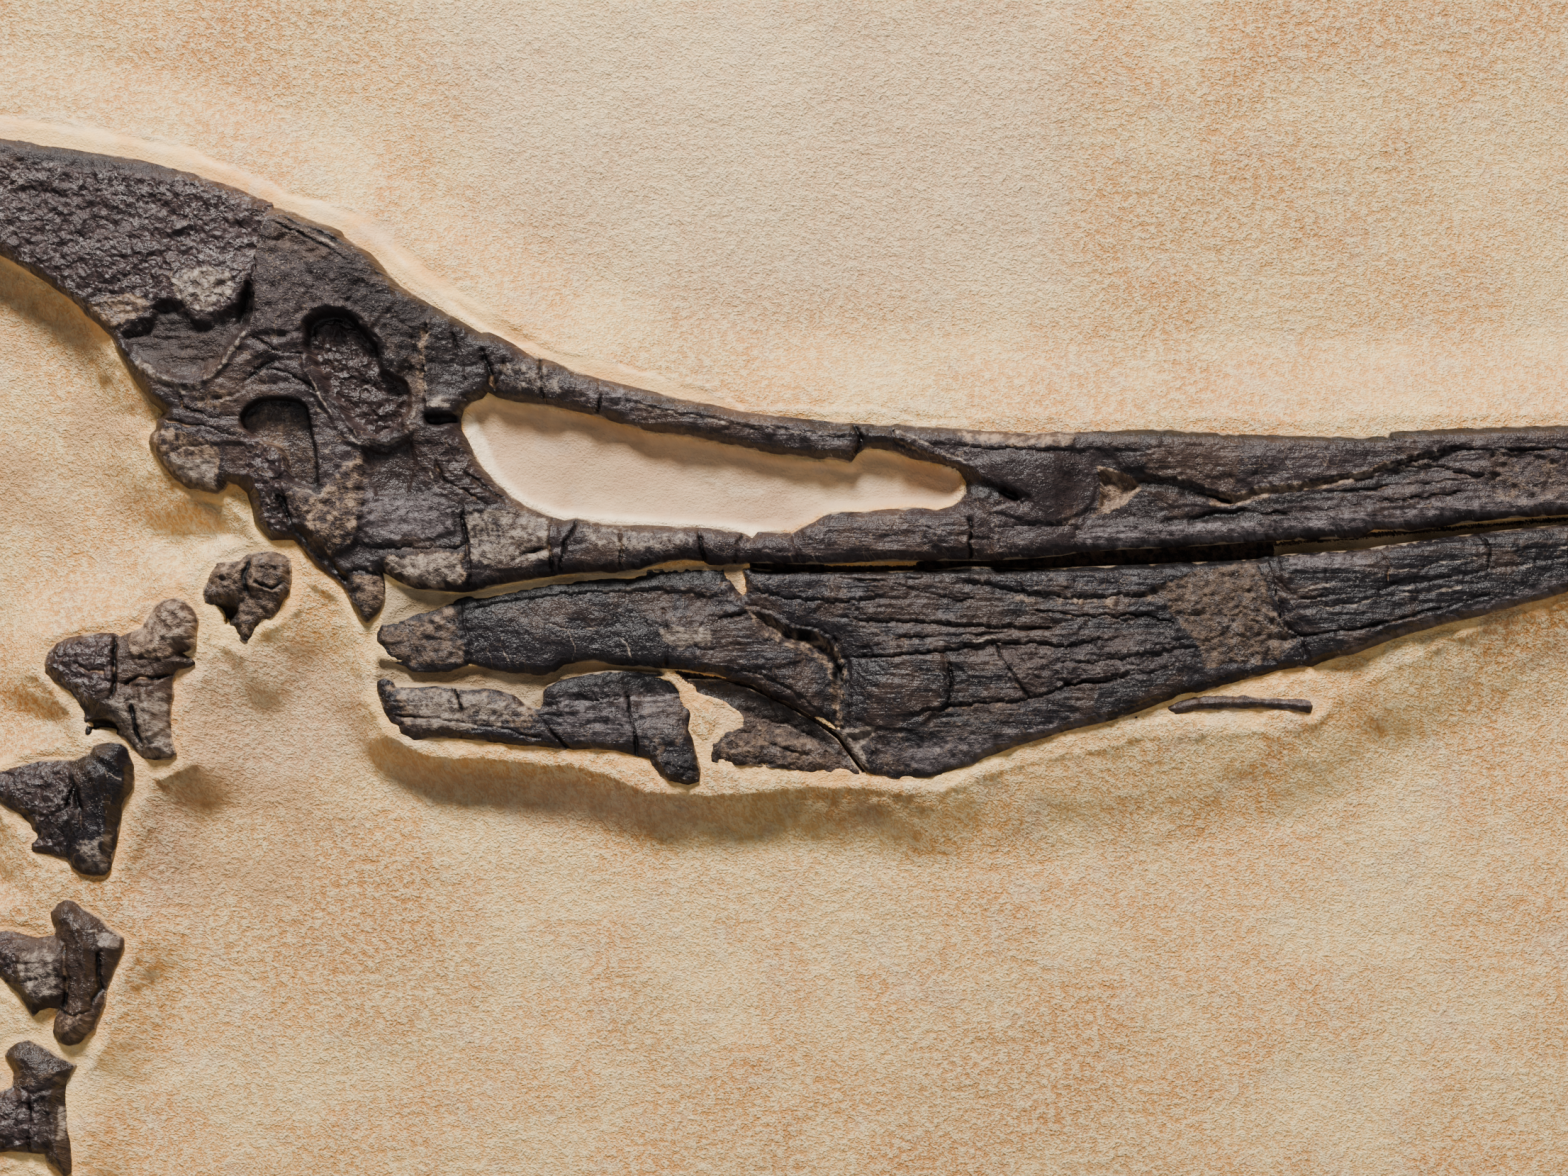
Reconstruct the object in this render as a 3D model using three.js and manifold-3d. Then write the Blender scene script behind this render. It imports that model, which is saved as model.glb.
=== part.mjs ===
// A pteranodon's skull, lower jaw, tongue bone and neck bones, lying as they were found in a slab of pale chalk.
// Millimetres, +Z out of the slab's face, X along its length, origin at the centre of its underside.
import * as THREE from "three";
import { mergeVertices } from "three/addons/utils/BufferGeometryUtils.js";
import Module from "manifold-3d";

const wasm = await Module();
wasm.setup();

// Driving dimensions, in millimetres
const slabLength = 1470;
const slabWidth = 680;
const slabThickness = 40; // the plain part of the slab, away from the bones
const bankTop = 56; // the raised bank of matrix that holds the bones
const pocketFloor = 44; // the bed that each bone lies on
const seatGap = 0.4; // clear space between a bone and its bed
const tallest = 100; // above everything, for cutting through

// Outlines are drawn in the pixels of a 2212 x 1659 photograph, whose row numbers grow downwards. At this scale the
// skull is a little over a metre long from the braincase to the tip of the beak.
const mmPerPixel = 0.33;
const centrePixel = { x: 1175, y: 990 };

const place = ([x, y]) =>
  new THREE.Vector2((x - centrePixel.x) * mmPerPixel, (centrePixel.y - y) * mmPerPixel);

// A drawn outline in millimetres, anticlockwise, without corners that lie on the line between their neighbours
function outlineOf(points) {
  const corners = points.map(place);
  if (THREE.ShapeUtils.isClockWise(corners)) corners.reverse();
  return corners.filter((corner, i) => {
    const before = corner.clone().sub(corners.at(i - 1));
    const after = corners[(i + 1) % corners.length].clone().sub(corner);
    return Math.abs(before.cross(after)) > 1e-3;
  });
}

// Clay for the bones and the matrix
const boneDark = new THREE.MeshStandardMaterial({ color: 0x3b3330, roughness: 0.62, metalness: 0 });
const boneBrown = new THREE.MeshStandardMaterial({ color: 0x5a4a40, roughness: 0.7, metalness: 0 });
const chalk = new THREE.MeshStandardMaterial({ color: 0xdcc3a0, roughness: 0.95, metalness: 0 });

// Outlines of the bones. The crest left of column 0, the beak right of column 2212 and the neck below row 1659 are
// carried on from the parts that are seen.
const skullOutline = [
  // along the top, from the tip of the crest to the tip of the beak
  [-900, 185], [-880, 168], [-800, 160], [-600, 156], [-400, 162], [-200, 176], [0, 194], [40, 198],
  [65, 205], [99, 209], [130, 215], [170, 219], [198, 225], [237, 235], [277, 245], [300, 254], [332, 263],
  [348, 271], [372, 279], [385, 286], [386, 293], [395, 293], [419, 300], [439, 310], [467, 319],
  [482, 326], [486, 334], [502, 344], [522, 356], [534, 368], [548, 385], [565, 403], [585, 415],
  [607, 429], [634, 443], [658, 457], [678, 469], [690, 468], [702, 473], [725, 485], [745, 499],
  [780, 509], [812, 523], [845, 533], [886, 543], [918, 551], [959, 562], [1000, 569], [1033, 577],
  [1061, 582], [1098, 586], [1131, 590], [1171, 594], [1212, 597], [1257, 599], [1264, 597], [1298, 601],
  [1323, 602], [1360, 604], [1392, 608], [1425, 610], [1466, 610], [1502, 608], [1527, 609], [1555, 607],
  [1604, 606], [1649, 605], [1694, 608], [1751, 612], [1804, 613], [1841, 614], [1895, 615], [1957, 615],
  [1961, 608], [1990, 607], [2027, 605], [2078, 603], [2132, 601], [2169, 600], [2212, 599], [2400, 592],
  [2700, 588], [3000, 590], [3200, 596], [3262, 602],
  // back along the under side of the beak to the cheek
  [3230, 612], [3000, 640], [2700, 672], [2400, 704], [2212, 726], [2169, 729], [2132, 731], [2096, 735],
  [2060, 739], [2023, 745], [1990, 750], [1968, 748], [1939, 747], [1932, 751], [1921, 759], [1895, 760],
  [1859, 761], [1822, 762], [1786, 764], [1749, 766], [1713, 769], [1676, 771], [1640, 773], [1588, 775],
  [1539, 778], [1519, 780], [1498, 784], [1466, 787], [1433, 789], [1400, 791], [1368, 791], [1319, 791],
  [1282, 792], [1241, 792], [1200, 794], [1171, 796], [1131, 796], [1098, 795], [1061, 794], [1045, 797],
  [1024, 798], [1000, 797], [992, 792], [967, 790], [947, 792], [926, 797], [902, 804], [882, 808],
  [853, 809], [828, 809], [804, 810], [780, 813], [755, 817], [722, 822], [698, 827], [673, 834],
  [653, 836], [633, 835], [607, 833], [587, 831], [571, 825], [559, 819], [547, 811], [540, 808],
  // the jaw joint, and up the back of the head
  [543, 824], [543, 844], [536, 863], [524, 876], [519, 880], [507, 875], [499, 863], [490, 843],
  [480, 824], [464, 813], [445, 799], [429, 779], [413, 762], [393, 762], [381, 763], [370, 752],
  [358, 736], [354, 716], [348, 696], [334, 684], [322, 682], [316, 692], [306, 698], [290, 694],
  [267, 690], [247, 678], [231, 661], [219, 643], [209, 625], [211, 613], [219, 605], [221, 593],
  [231, 582], [225, 577], [211, 566], [199, 550], [184, 530], [172, 510], [168, 502], [161, 486],
  [154, 474], [138, 458], [119, 445], [109, 431],
  // the under side of the crest
  [99, 423], [79, 409], [59, 395], [39, 383], [20, 371], [0, 360], [-100, 325], [-300, 283], [-600, 240],
  [-800, 214], [-880, 202],
];
const noseOpening = [
  [688, 553], [702, 561], [722, 566], [763, 572], [792, 576], [828, 584], [853, 591], [886, 601],
  [910, 607], [947, 613], [1000, 621], [1033, 628], [1061, 634], [1090, 640], [1122, 644], [1151, 647],
  [1180, 649], [1200, 654], [1210, 640], [1221, 633], [1241, 633], [1261, 638], [1282, 646], [1302, 651],
  [1323, 656], [1343, 662], [1355, 668], [1360, 678], [1360, 695], [1353, 707], [1343, 713], [1323, 719],
  [1302, 716], [1282, 715], [1261, 717], [1241, 719], [1212, 722], [1188, 721], [1171, 723], [1159, 729],
  [1147, 737], [1131, 743], [1118, 752], [1098, 749], [1069, 750], [1061, 759], [1053, 753], [1037, 749],
  [1008, 745], [967, 743], [926, 741], [886, 740], [853, 738], [828, 733], [812, 730], [796, 734],
  [780, 729], [763, 721], [743, 714], [722, 700], [702, 682], [681, 660], [669, 639], [659, 619],
  [651, 606], [650, 592], [655, 578], [665, 568], [681, 562],
];
const eyeSocket = [
  [429, 473], [431, 459], [439, 449], [453, 441], [472, 438], [492, 439], [504, 449], [512, 459],
  [528, 475], [538, 487], [542, 503], [546, 520], [579, 538], [585, 558], [585, 578], [570, 603],
  [555, 617], [532, 623], [516, 617], [496, 601], [480, 578], [460, 562], [453, 542], [437, 510],
  [429, 495],
];
const cheekOpening = [
  [340, 595], [342, 585], [350, 574], [366, 564], [385, 560], [405, 560], [425, 564], [437, 574],
  [441, 590], [445, 613], [451, 633], [453, 657], [455, 680], [453, 690], [443, 694], [429, 688],
  [413, 682], [405, 665], [401, 645], [393, 633], [373, 625], [354, 617], [342, 607],
];
const templeHollow = [
  [166, 462], [190, 454], [206, 447], [217, 433], [229, 423], [245, 421], [261, 427], [277, 443],
  [297, 445], [316, 435], [336, 423], [348, 403], [358, 391], [361, 403], [363, 427], [360, 450],
  [348, 474], [332, 494], [316, 518], [297, 533], [277, 541], [257, 540], [237, 533], [221, 526],
  [198, 514], [180, 503], [169, 487],
];
const lowerJawOutline = [
  // top edge, from the joint to the tip
  [531, 892], [538, 880], [552, 880], [567, 875], [596, 863], [624, 850], [653, 842], [681, 837],
  [714, 831], [743, 825], [775, 819], [812, 815], [845, 811], [886, 810], [910, 804], [947, 802],
  [988, 800], [1020, 801], [1028, 814], [1038, 827], [1049, 837], [1050, 818], [1046, 803], [1060, 801],
  [1090, 804], [1131, 806], [1180, 807], [1221, 807], [1261, 805], [1294, 804], [1327, 803], [1360, 799],
  [1384, 799], [1425, 801], [1466, 801], [1506, 800], [1547, 799], [1588, 797], [1629, 796], [1670, 793],
  [1711, 792], [1751, 790], [1775, 789], [1786, 785], [1800, 785], [1815, 782], [1844, 780], [1895, 777],
  [1924, 775], [1950, 770], [1990, 765], [2023, 760], [2078, 753], [2132, 747], [2169, 743], [2212, 739],
  [2400, 718], [2700, 684], [2900, 661], [3030, 644], [3060, 640],
  // lower edge, back to the joint
  [3040, 650], [2900, 674], [2700, 712], [2400, 785], [2212, 835], [2180, 845], [2151, 852], [2114, 863],
  [2078, 872], [2041, 880], [2005, 890], [1968, 901], [1939, 912], [1910, 923], [1888, 928], [1866, 934],
  [1852, 941], [1822, 943], [1800, 947], [1779, 954], [1749, 961], [1713, 972], [1676, 981], [1640, 991],
  [1616, 1001], [1579, 1014], [1547, 1022], [1510, 1030], [1474, 1041], [1437, 1052], [1400, 1066],
  [1373, 1080], [1340, 1089], [1313, 1098], [1290, 1098], [1262, 1100], [1235, 1094], [1222, 1090],
  [1207, 1071], [1183, 1037], [1149, 1013], [1110, 991], [1061, 967], [1013, 953], [965, 945], [930, 943],
  [892, 941], [858, 937], [838, 933], [815, 935], [795, 938], [780, 950], [771, 954], [722, 950],
  [688, 945], [664, 938], [635, 948], [582, 950], [572, 941], [543, 931], [538, 921], [531, 904],
];
const rearFragmentOutline = [
  [531, 962], [541, 955], [553, 960], [558, 969], [587, 970], [625, 967], [654, 970], [693, 972],
  [722, 979], [742, 994], [761, 998], [766, 975], [771, 967], [790, 960], [829, 950], [858, 946],
  [897, 947], [931, 949], [950, 956], [964, 970], [967, 984], [970, 994], [974, 1008], [970, 1028],
  [977, 1042], [982, 1062], [989, 1086], [986, 1103], [970, 1108], [945, 1103], [931, 1096], [921, 1086],
  [916, 1071], [897, 1067], [868, 1059], [829, 1057], [800, 1059], [771, 1054], [732, 1052], [688, 1047],
  [645, 1042], [601, 1042], [582, 1045], [567, 1037], [553, 1023], [541, 1004], [536, 989], [531, 975],
];
const frontFragmentOutline = [
  [1001, 1077], [1001, 1071], [1004, 1052], [1013, 1037], [1032, 1030], [1045, 1023], [1037, 1011],
  [1018, 999], [998, 992], [975, 985], [969, 958], [1013, 958], [1061, 973], [1110, 997], [1149, 1019],
  [1181, 1043], [1203, 1073], [1218, 1093], [1158, 1091], [1110, 1086], [1062, 1081], [1013, 1079],
];
const hyoidRodOutline = [
  [1582, 1016], [1611, 1004], [1662, 988], [1699, 981], [1754, 980], [1777, 983], [1814, 984], [1837, 984],
  [1850, 988], [1854, 997], [1850, 1006], [1837, 1006], [1818, 1002], [1777, 1000], [1731, 1001],
  [1685, 1004], [1639, 1011], [1612, 1016], [1584, 1019],
];
const neckOutlines = {
  axis_vertebra: [
    [286, 830], [293, 816], [299, 804], [305, 794], [323, 792], [337, 791], [348, 782], [364, 778],
    [381, 777], [396, 780], [409, 788], [411, 801], [411, 819], [408, 833], [402, 848], [396, 860],
    [384, 871], [370, 877], [361, 886], [355, 901], [346, 910], [337, 904], [330, 889], [326, 886],
    [317, 893], [307, 892], [302, 886], [304, 871], [296, 857], [289, 851], [285, 839],
  ],
  neck_vertebra_3: [
    [59, 948], [62, 933], [66, 920], [79, 907], [97, 899], [117, 895], [141, 892], [161, 893], [169, 898],
    [182, 892], [199, 886], [211, 868], [217, 854], [232, 845], [249, 843], [261, 848], [273, 860],
    [280, 874], [277, 892], [276, 912], [264, 920], [256, 921], [270, 929], [276, 936], [267, 942],
    [252, 945], [243, 959], [245, 977], [241, 995], [240, 1024], [242, 1042], [249, 1065], [241, 1072],
    [223, 1073], [202, 1072], [191, 1062], [182, 1050], [176, 1044], [164, 1038], [141, 1037], [129, 1040],
    [117, 1045], [113, 1036], [119, 1024], [113, 1020], [117, 1008], [117, 1003], [108, 992], [97, 978],
    [79, 965], [67, 954],
  ],
  neck_vertebra_4: [
    [0, 1087], [18, 1083], [32, 1078], [59, 1073], [79, 1072], [103, 1072], [117, 1066], [126, 1061],
    [131, 1051], [152, 1047], [170, 1048], [179, 1055], [183, 1068], [188, 1080], [189, 1097], [188, 1109],
    [179, 1124], [172, 1141], [170, 1158], [165, 1182], [160, 1206], [155, 1227], [148, 1235], [131, 1237],
    [113, 1233], [100, 1223], [93, 1213], [79, 1211], [69, 1206], [52, 1204], [41, 1201], [41, 1190],
    [48, 1182], [46, 1173], [38, 1161], [27, 1149], [14, 1142], [0, 1134], [-15, 1124], [-22, 1110],
    [-14, 1096],
  ],
  neck_vertebra_5: [
    [0, 1311], [17, 1314], [34, 1319], [52, 1323], [76, 1319], [77, 1309], [72, 1299], [70, 1288],
    [79, 1276], [93, 1269], [103, 1271], [113, 1280], [127, 1288], [141, 1295], [151, 1307], [165, 1316],
    [175, 1324], [175, 1337], [165, 1361], [158, 1374], [151, 1395], [148, 1416], [137, 1440], [134, 1453],
    [120, 1464], [110, 1474], [96, 1476], [81, 1471], [74, 1457], [76, 1440], [82, 1424], [69, 1422],
    [55, 1426], [46, 1436], [39, 1428], [33, 1416], [24, 1402], [17, 1395], [0, 1381], [-35, 1368],
    [-52, 1352], [-48, 1335], [-25, 1318],
  ],
  neck_vertebra_6: [
    [5, 1489], [10, 1481], [24, 1471], [38, 1467], [55, 1474], [69, 1481], [86, 1493], [100, 1500],
    [109, 1502], [103, 1512], [93, 1526], [91, 1543], [93, 1567], [94, 1594], [98, 1612], [100, 1636],
    [100, 1655], [90, 1662], [79, 1650], [65, 1640], [62, 1629], [10, 1625], [-10, 1628], [-40, 1612],
    [-58, 1592], [-55, 1570], [-30, 1550], [0, 1539], [14, 1534], [17, 1526], [19, 1512],
  ],
  neck_vertebra_7: [
    [-20, 1684], [-12, 1674], [2, 1664], [16, 1662], [32, 1668], [48, 1677], [64, 1688], [80, 1695],
    [88, 1699], [80, 1710], [70, 1722], [67, 1740], [68, 1762], [70, 1788], [74, 1808], [77, 1830],
    [76, 1850], [66, 1857], [54, 1846], [40, 1834], [36, 1824], [-14, 1820], [-34, 1823], [-64, 1807],
    [-82, 1787], [-80, 1765], [-55, 1745], [-25, 1734], [-12, 1728], [-8, 1720], [-6, 1707],
  ],
};

// Crown heights, in millimetres over the bank, at marks on each bone. Between marks the height runs smoothly.
const skullMarks = [
  [-800, 185, 4], [-460, 210, 6], [-140, 250, 7], [60, 290, 7], [200, 330, 8], [330, 330, 9], [420, 340, 13],
  [390, 420, 15], [470, 390, 15], [540, 420, 13], [600, 470, 12], [560, 490, 13], [640, 500, 9], [700, 520, 10],
  [790, 540, 10], [900, 575, 9], [1040, 600, 9], [1180, 620, 8], [1290, 625, 9], [1440, 660, 12], [1400, 720, 9],
  [1560, 690, 4], [1620, 640, 9], [1800, 650, 9], [1720, 740, 7], [1900, 720, 8], [2100, 640, 9], [2100, 700, 8],
  [2500, 640, 8], [2900, 622, 7], [3220, 604, 4], [150, 445, 7], [180, 515, 9], [230, 560, 13], [330, 545, 14],
  [400, 510, 15], [270, 600, 12], [270, 660, 8], [380, 680, 12], [380, 740, 7], [450, 790, 5], [520, 845, 7],
  [470, 640, 12], [460, 740, 11], [560, 660, 7], [640, 680, 8], [600, 760, 8], [700, 770, 8], [620, 810, 10],
  [850, 770, 9], [1000, 770, 8], [1200, 770, 7], [610, 590, 10], [480, 600, 11],
];
const jawMarks = [
  [560, 910, 1], [640, 900, 2], [760, 860, 2], [760, 900, 4], [900, 850, 2], [930, 900, 5], [1020, 930, 4],
  [1100, 960, 5], [1110, 850, 3], [1200, 850, 3], [1180, 920, 2], [1280, 960, 5], [1340, 830, 3], [1380, 890, 4],
  [1450, 980, 5], [1270, 1070, 2], [1600, 820, 4], [1560, 940, 5], [1750, 850, 6], [1800, 930, 4], [1900, 800, 6],
  [1900, 860, 7], [2050, 820, 6], [2200, 790, 5], [2600, 725, 4], [3000, 652, 3],
];
const rearFragmentMarks = [[560, 990, 3], [650, 1000, 5], [840, 1000, 5], [930, 970, 0], [930, 1060, 3], [970, 1090, 4]];
const frontFragmentMarks = [[990, 972, -3], [1090, 1010, -4], [1040, 1055, 3], [1140, 1060, 2], [1190, 1078, 1]];
const hyoidMarks = [[1600, 1010, -1], [1720, 990, 3], [1840, 996, 4]];
const neckMarks = {
  axis_vertebra: [[320, 815, 9], [375, 810, 8], [345, 880, 6], [315, 870, 1], [380, 850, 6]],
  neck_vertebra_3: [[100, 940, 6], [240, 880, 9], [180, 940, 7], [210, 1000, 9], [160, 990, 9], [145, 1026, 2],
    [220, 1050, 8]],
  neck_vertebra_4: [[40, 1105, 6], [140, 1090, 11], [140, 1140, 9], [70, 1190, 7], [135, 1215, 8]],
  neck_vertebra_5: [[0, 1345, 5], [60, 1370, 8], [100, 1290, 9], [110, 1340, 10], [150, 1340, 8], [100, 1450, 11],
    [100, 1400, 8]],
  neck_vertebra_6: [[50, 1500, 9], [40, 1580, 7], [84, 1640, 9], [-30, 1600, 8]],
  neck_vertebra_7: [[25, 1695, 9], [15, 1775, 7], [60, 1835, 9], [-55, 1795, 8]],
};

// How a bone's crown falls away to its edge
const edgeWidth = 7;
const edgeShare = 0.75;
const crownLift = 2.5;
const markReach = 14; // how far round a mark its own height holds

function distanceToOutline(point, outline) {
  let nearest = Infinity;
  outline.forEach((a, i) => {
    const b = outline[(i + 1) % outline.length];
    const along = b.clone().sub(a);
    const share = THREE.MathUtils.clamp(point.clone().sub(a).dot(along) / along.lengthSq(), 0, 1);
    nearest = Math.min(nearest, point.distanceTo(a.clone().addScaledVector(along, share)));
  });
  return nearest;
}

function markHeight(point, marks) {
  let total = 0;
  let weights = 0;
  for (const { at, height } of marks) {
    const weight = 1 / (at.distanceToSquared(point) + markReach ** 2) ** 2;
    total += weight * height;
    weights += weight;
  }
  return total / weights;
}

// A three.js geometry as a solid that can be joined and cut
function solidFrom(geometry) {
  const plain = geometry.clone();
  plain.deleteAttribute("normal");
  plain.deleteAttribute("uv");
  const merged = mergeVertices(plain, 1e-3);
  return new wasm.Manifold(
    new wasm.Mesh({
      numProp: 3,
      vertProperties: merged.attributes.position.array,
      triVerts: new Uint32Array(merged.index.array),
    }),
  );
}

function geometryFrom(solid) {
  const { numProp, vertProperties, triVerts } = solid.getMesh();
  const positions = new Float32Array((vertProperties.length / numProp) * 3);
  for (let i = 0; i < positions.length / 3; i++)
    positions.set(vertProperties.subarray(i * numProp, i * numProp + 3), i * 3);
  const geometry = new THREE.BufferGeometry();
  geometry.setAttribute("position", new THREE.BufferAttribute(positions, 3));
  geometry.setIndex(new THREE.BufferAttribute(triVerts, 1));
  geometry.computeVertexNormals();
  return geometry;
}

// A straight-sided block between two heights, with a given outline and holes
function prism(outline, low, high, holes = []) {
  const shape = new THREE.Shape(outline);
  shape.holes = holes.map((hole) => new THREE.Path(hole));
  const geometry = new THREE.ExtrudeGeometry(shape, { depth: high - low, bevelEnabled: false });
  return solidFrom(geometry.translate(0, 0, low));
}

// The outline moved outwards by a small distance, corner by corner
function grown(outline, by) {
  const turn = Math.sign(THREE.ShapeUtils.area(outline));
  return outline.map((corner, i) => {
    const before = corner.clone().sub(outline.at(i - 1)).normalize();
    const after = outline[(i + 1) % outline.length].clone().sub(corner).normalize();
    const outwards = new THREE.Vector2(before.y + after.y, -before.x - after.x).normalize();
    const spread = Math.max(0.5, Math.abs(outwards.dot(new THREE.Vector2(before.y, -before.x))));
    return corner.clone().addScaledVector(outwards, (turn * by) / spread);
  });
}

// A block whose top follows a height function. Columns and rows are the places of its grid lines.
function reliefBlock(columns, rows, low, heightAt) {
  const across = columns.length - 1;
  const up = rows.length - 1;
  const block = new THREE.BoxGeometry(across, up, 1, across, up, 1);
  const corners = block.attributes.position;
  for (let i = 0; i < corners.count; i++) {
    const x = columns[Math.round(corners.getX(i) + across / 2)];
    const y = rows[Math.round(corners.getY(i) + up / 2)];
    corners.setXYZ(i, x, y, corners.getZ(i) > 0 ? heightAt(new THREE.Vector2(x, y)) : low);
  }
  return solidFrom(block);
}

// Evenly spaced grid lines that are close together between two places and wider elsewhere
function gridLines(from, to, step, fine = { from: 0, to: 0, step }) {
  const lines = [from];
  while (lines.at(-1) < to) {
    const last = lines.at(-1);
    lines.push(last + (last > fine.from && last < fine.to ? fine.step : step));
  }
  return lines;
}

function boneSolid(outline, marks, step, { holes = [], rowStep = step, fine } = {}) {
  const edge = outlineOf(outline);
  const inner = holes.map(outlineOf);
  const crowns = marks.map(([x, y, height]) => ({ at: place([x, y]), height }));
  const box = new THREE.Box2().setFromPoints(edge).expandByScalar(1);
  const heightAt = (point) => {
    const inset = Math.min(...[edge, ...inner].map((loop) => distanceToOutline(point, loop)));
    const fall = 1 - THREE.MathUtils.smoothstep(inset, 0, edgeWidth);
    return bankTop + (markHeight(point, crowns) + crownLift) * (1 - edgeShare * fall);
  };
  const block = reliefBlock(
    gridLines(box.min.x, box.max.x, step, fine),
    gridLines(box.min.y, box.max.y, rowStep),
    pocketFloor + seatGap,
    heightAt,
  );
  return block.intersect(prism(edge, 0, tallest, inner));
}

function hollowOut(solid, outline, floor) {
  return solid.subtract(prism(outlineOf(outline), floor, tallest));
}

function named(name, solid, material) {
  const mesh = new THREE.Mesh(geometryFrom(solid), material);
  mesh.name = name;
  return mesh;
}

// Skull, with its crest and upper beak
function skull() {
  const braincase = { from: place([120, 0]).x, to: place([760, 0]).x, step: 11 };
  let solid = boneSolid(skullOutline, skullMarks, 26, { holes: [noseOpening], rowStep: 12, fine: braincase });
  solid = hollowOut(solid, eyeSocket, bankTop + 2);
  solid = hollowOut(solid, cheekOpening, bankTop + 2);
  return hollowOut(solid, templeHollow, bankTop + 6);
}

// The bank of matrix round the bones: its crest, with the width of its slope at each point, all in pixels
const bankCrest = [
  [-925, 190, 60], [-905, 158, 80], [-800, 136, 110], [-600, 132, 120], [-400, 138, 120], [-200, 152, 120],
  [0, 170, 120], [110, 190, 120], [205, 205, 120], [300, 232, 120], [390, 268, 120], [480, 300, 120],
  [540, 345, 120], [610, 402, 120], [700, 446, 120], [790, 490, 120], [900, 524, 120], [1060, 562, 120],
  [1260, 578, 120], [1490, 590, 120], [1800, 592, 120], [2212, 580, 120], [2600, 570, 120], [3000, 570, 110],
  [3210, 576, 80], [3285, 590, 60], [3284, 616, 60], [3220, 634, 80], [3090, 652, 90], [3050, 668, 100],
  [2900, 692, 120], [2700, 730, 130], [2400, 802, 140], [2212, 852, 140], [2041, 905, 140], [1900, 985, 130],
  [1865, 1020, 120], [1820, 1030, 120], [1640, 1040, 120], [1470, 1072, 110], [1310, 1120, 96],
  [1200, 1112, 84], [1040, 1114, 88], [990, 1126, 88], [920, 1116, 90], [800, 1080, 96], [600, 1064, 88],
  [540, 1034, 76], [510, 990, 60], [508, 905, 46], [470, 850, 40], [430, 826, 40], [424, 862, 40],
  [372, 900, 40], [346, 928, 40], [306, 912, 40], [298, 930, 46], [266, 1000, 46], [270, 1084, 54],
  [212, 1100, 54], [192, 1180, 54], [172, 1252, 48], [196, 1330, 42], [170, 1400, 42], [154, 1460, 42],
  [126, 1510, 42], [120, 1650, 42], [104, 1700, 42], [94, 1850, 42], [66, 1874, 42], [-30, 1840, 42],
  [-100, 1800, 36], [-98, 1760, 36], [-44, 1720, 36], [-36, 1670, 36], [-76, 1605, 36], [-72, 1560, 36],
  [-30, 1500, 36], [-30, 1410, 36], [-68, 1364, 36], [-66, 1330, 36], [-20, 1296, 36], [50, 1270, 36],
  [24, 1180, 36], [-32, 1128, 36], [-36, 1104, 36], [40, 1058, 36], [96, 1040, 36], [96, 1004, 36],
  [42, 950, 42], [58, 900, 36], [180, 872, 36], [226, 826, 36], [266, 818, 36], [290, 784, 36], [362, 768, 60],
  [348, 730, 80], [338, 700, 90], [306, 704, 90], [262, 696, 96], [222, 662, 100], [203, 640, 104],
  [201, 612, 100], [214, 590, 100], [196, 560, 100], [176, 528, 100], [158, 500, 100], [146, 474, 100],
  [112, 446, 100], [60, 402, 96], [0, 366, 90], [-100, 331, 84], [-300, 289, 70], [-600, 246, 60],
  [-800, 222, 48], [-890, 210, 40],
];
const bankSteps = 2;
const rootDepth = 2; // how far the foot of the bank goes into the slab

function bankSolid() {
  const crest = bankCrest.map(place);
  const foot = crest.map((_, i) => grown(crest, bankCrest[i][2] * mmPerPixel)[i]);
  const shape = new THREE.Shape(crest);
  const low = slabThickness - rootDepth;
  const block = new THREE.ExtrudeGeometry(shape, { depth: bankTop - low, steps: bankSteps, bevelEnabled: false });
  block.translate(0, 0, low);
  const corners = block.attributes.position;
  for (let i = 0; i < corners.count; i++) {
    const here = new THREE.Vector2(corners.getX(i), corners.getY(i));
    const nearest = crest.findIndex((point) => point.distanceToSquared(here) < 1e-6);
    const share = (bankTop - corners.getZ(i)) / (bankTop - low);
    const moved = crest[nearest].clone().lerp(foot[nearest], share);
    corners.setXY(i, moved.x, moved.y);
  }
  return solidFrom(block);
}

// The slab: its gently rolling face, the bank, a bed for each bone and the filled nose opening
function slab(beds) {
  const roll = 1.4;
  const rollLength = 90;
  const tile = 75;
  const halfLength = slabLength / 2;
  const halfWidth = slabWidth / 2;
  const lines = (half) => {
    const count = Math.round((2 * half) / tile);
    return Array.from({ length: count + 1 }, (_, i) => -half + (2 * half * i) / count);
  };
  const faceAt = (point) => {
    const rim = Math.min(halfLength - Math.abs(point.x), halfWidth - Math.abs(point.y));
    const wave = Math.sin(point.x / rollLength) * Math.cos(point.y / rollLength + 1);
    return slabThickness + (rim > 1 ? roll * wave : -roll);
  };
  let solid = reliefBlock(lines(halfLength), lines(halfWidth), 0, faceAt).add(bankSolid());
  for (const bed of beds) solid = solid.subtract(prism(grown(outlineOf(bed), seatGap), pocketFloor, tallest));
  const fill = grown(outlineOf(noseOpening), -seatGap);
  return solid.add(prism(fill, pocketFloor - 1, bankTop - 4));
}

const solids = {
  skull: skull(),
  lower_jaw: boneSolid(lowerJawOutline, jawMarks, 22, { rowStep: 14 }),
  rear_jaw_fragment: boneSolid(rearFragmentOutline, rearFragmentMarks, 14),
  front_jaw_fragment: boneSolid(frontFragmentOutline, frontFragmentMarks, 14),
  hyoid_rod: boneSolid(hyoidRodOutline, hyoidMarks, 9),
};
for (const [name, outline] of Object.entries(neckOutlines)) solids[name] = boneSolid(outline, neckMarks[name], 11);

const beds = [
  skullOutline,
  lowerJawOutline,
  rearFragmentOutline,
  frontFragmentOutline,
  hyoidRodOutline,
  ...Object.values(neckOutlines),
];

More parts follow.
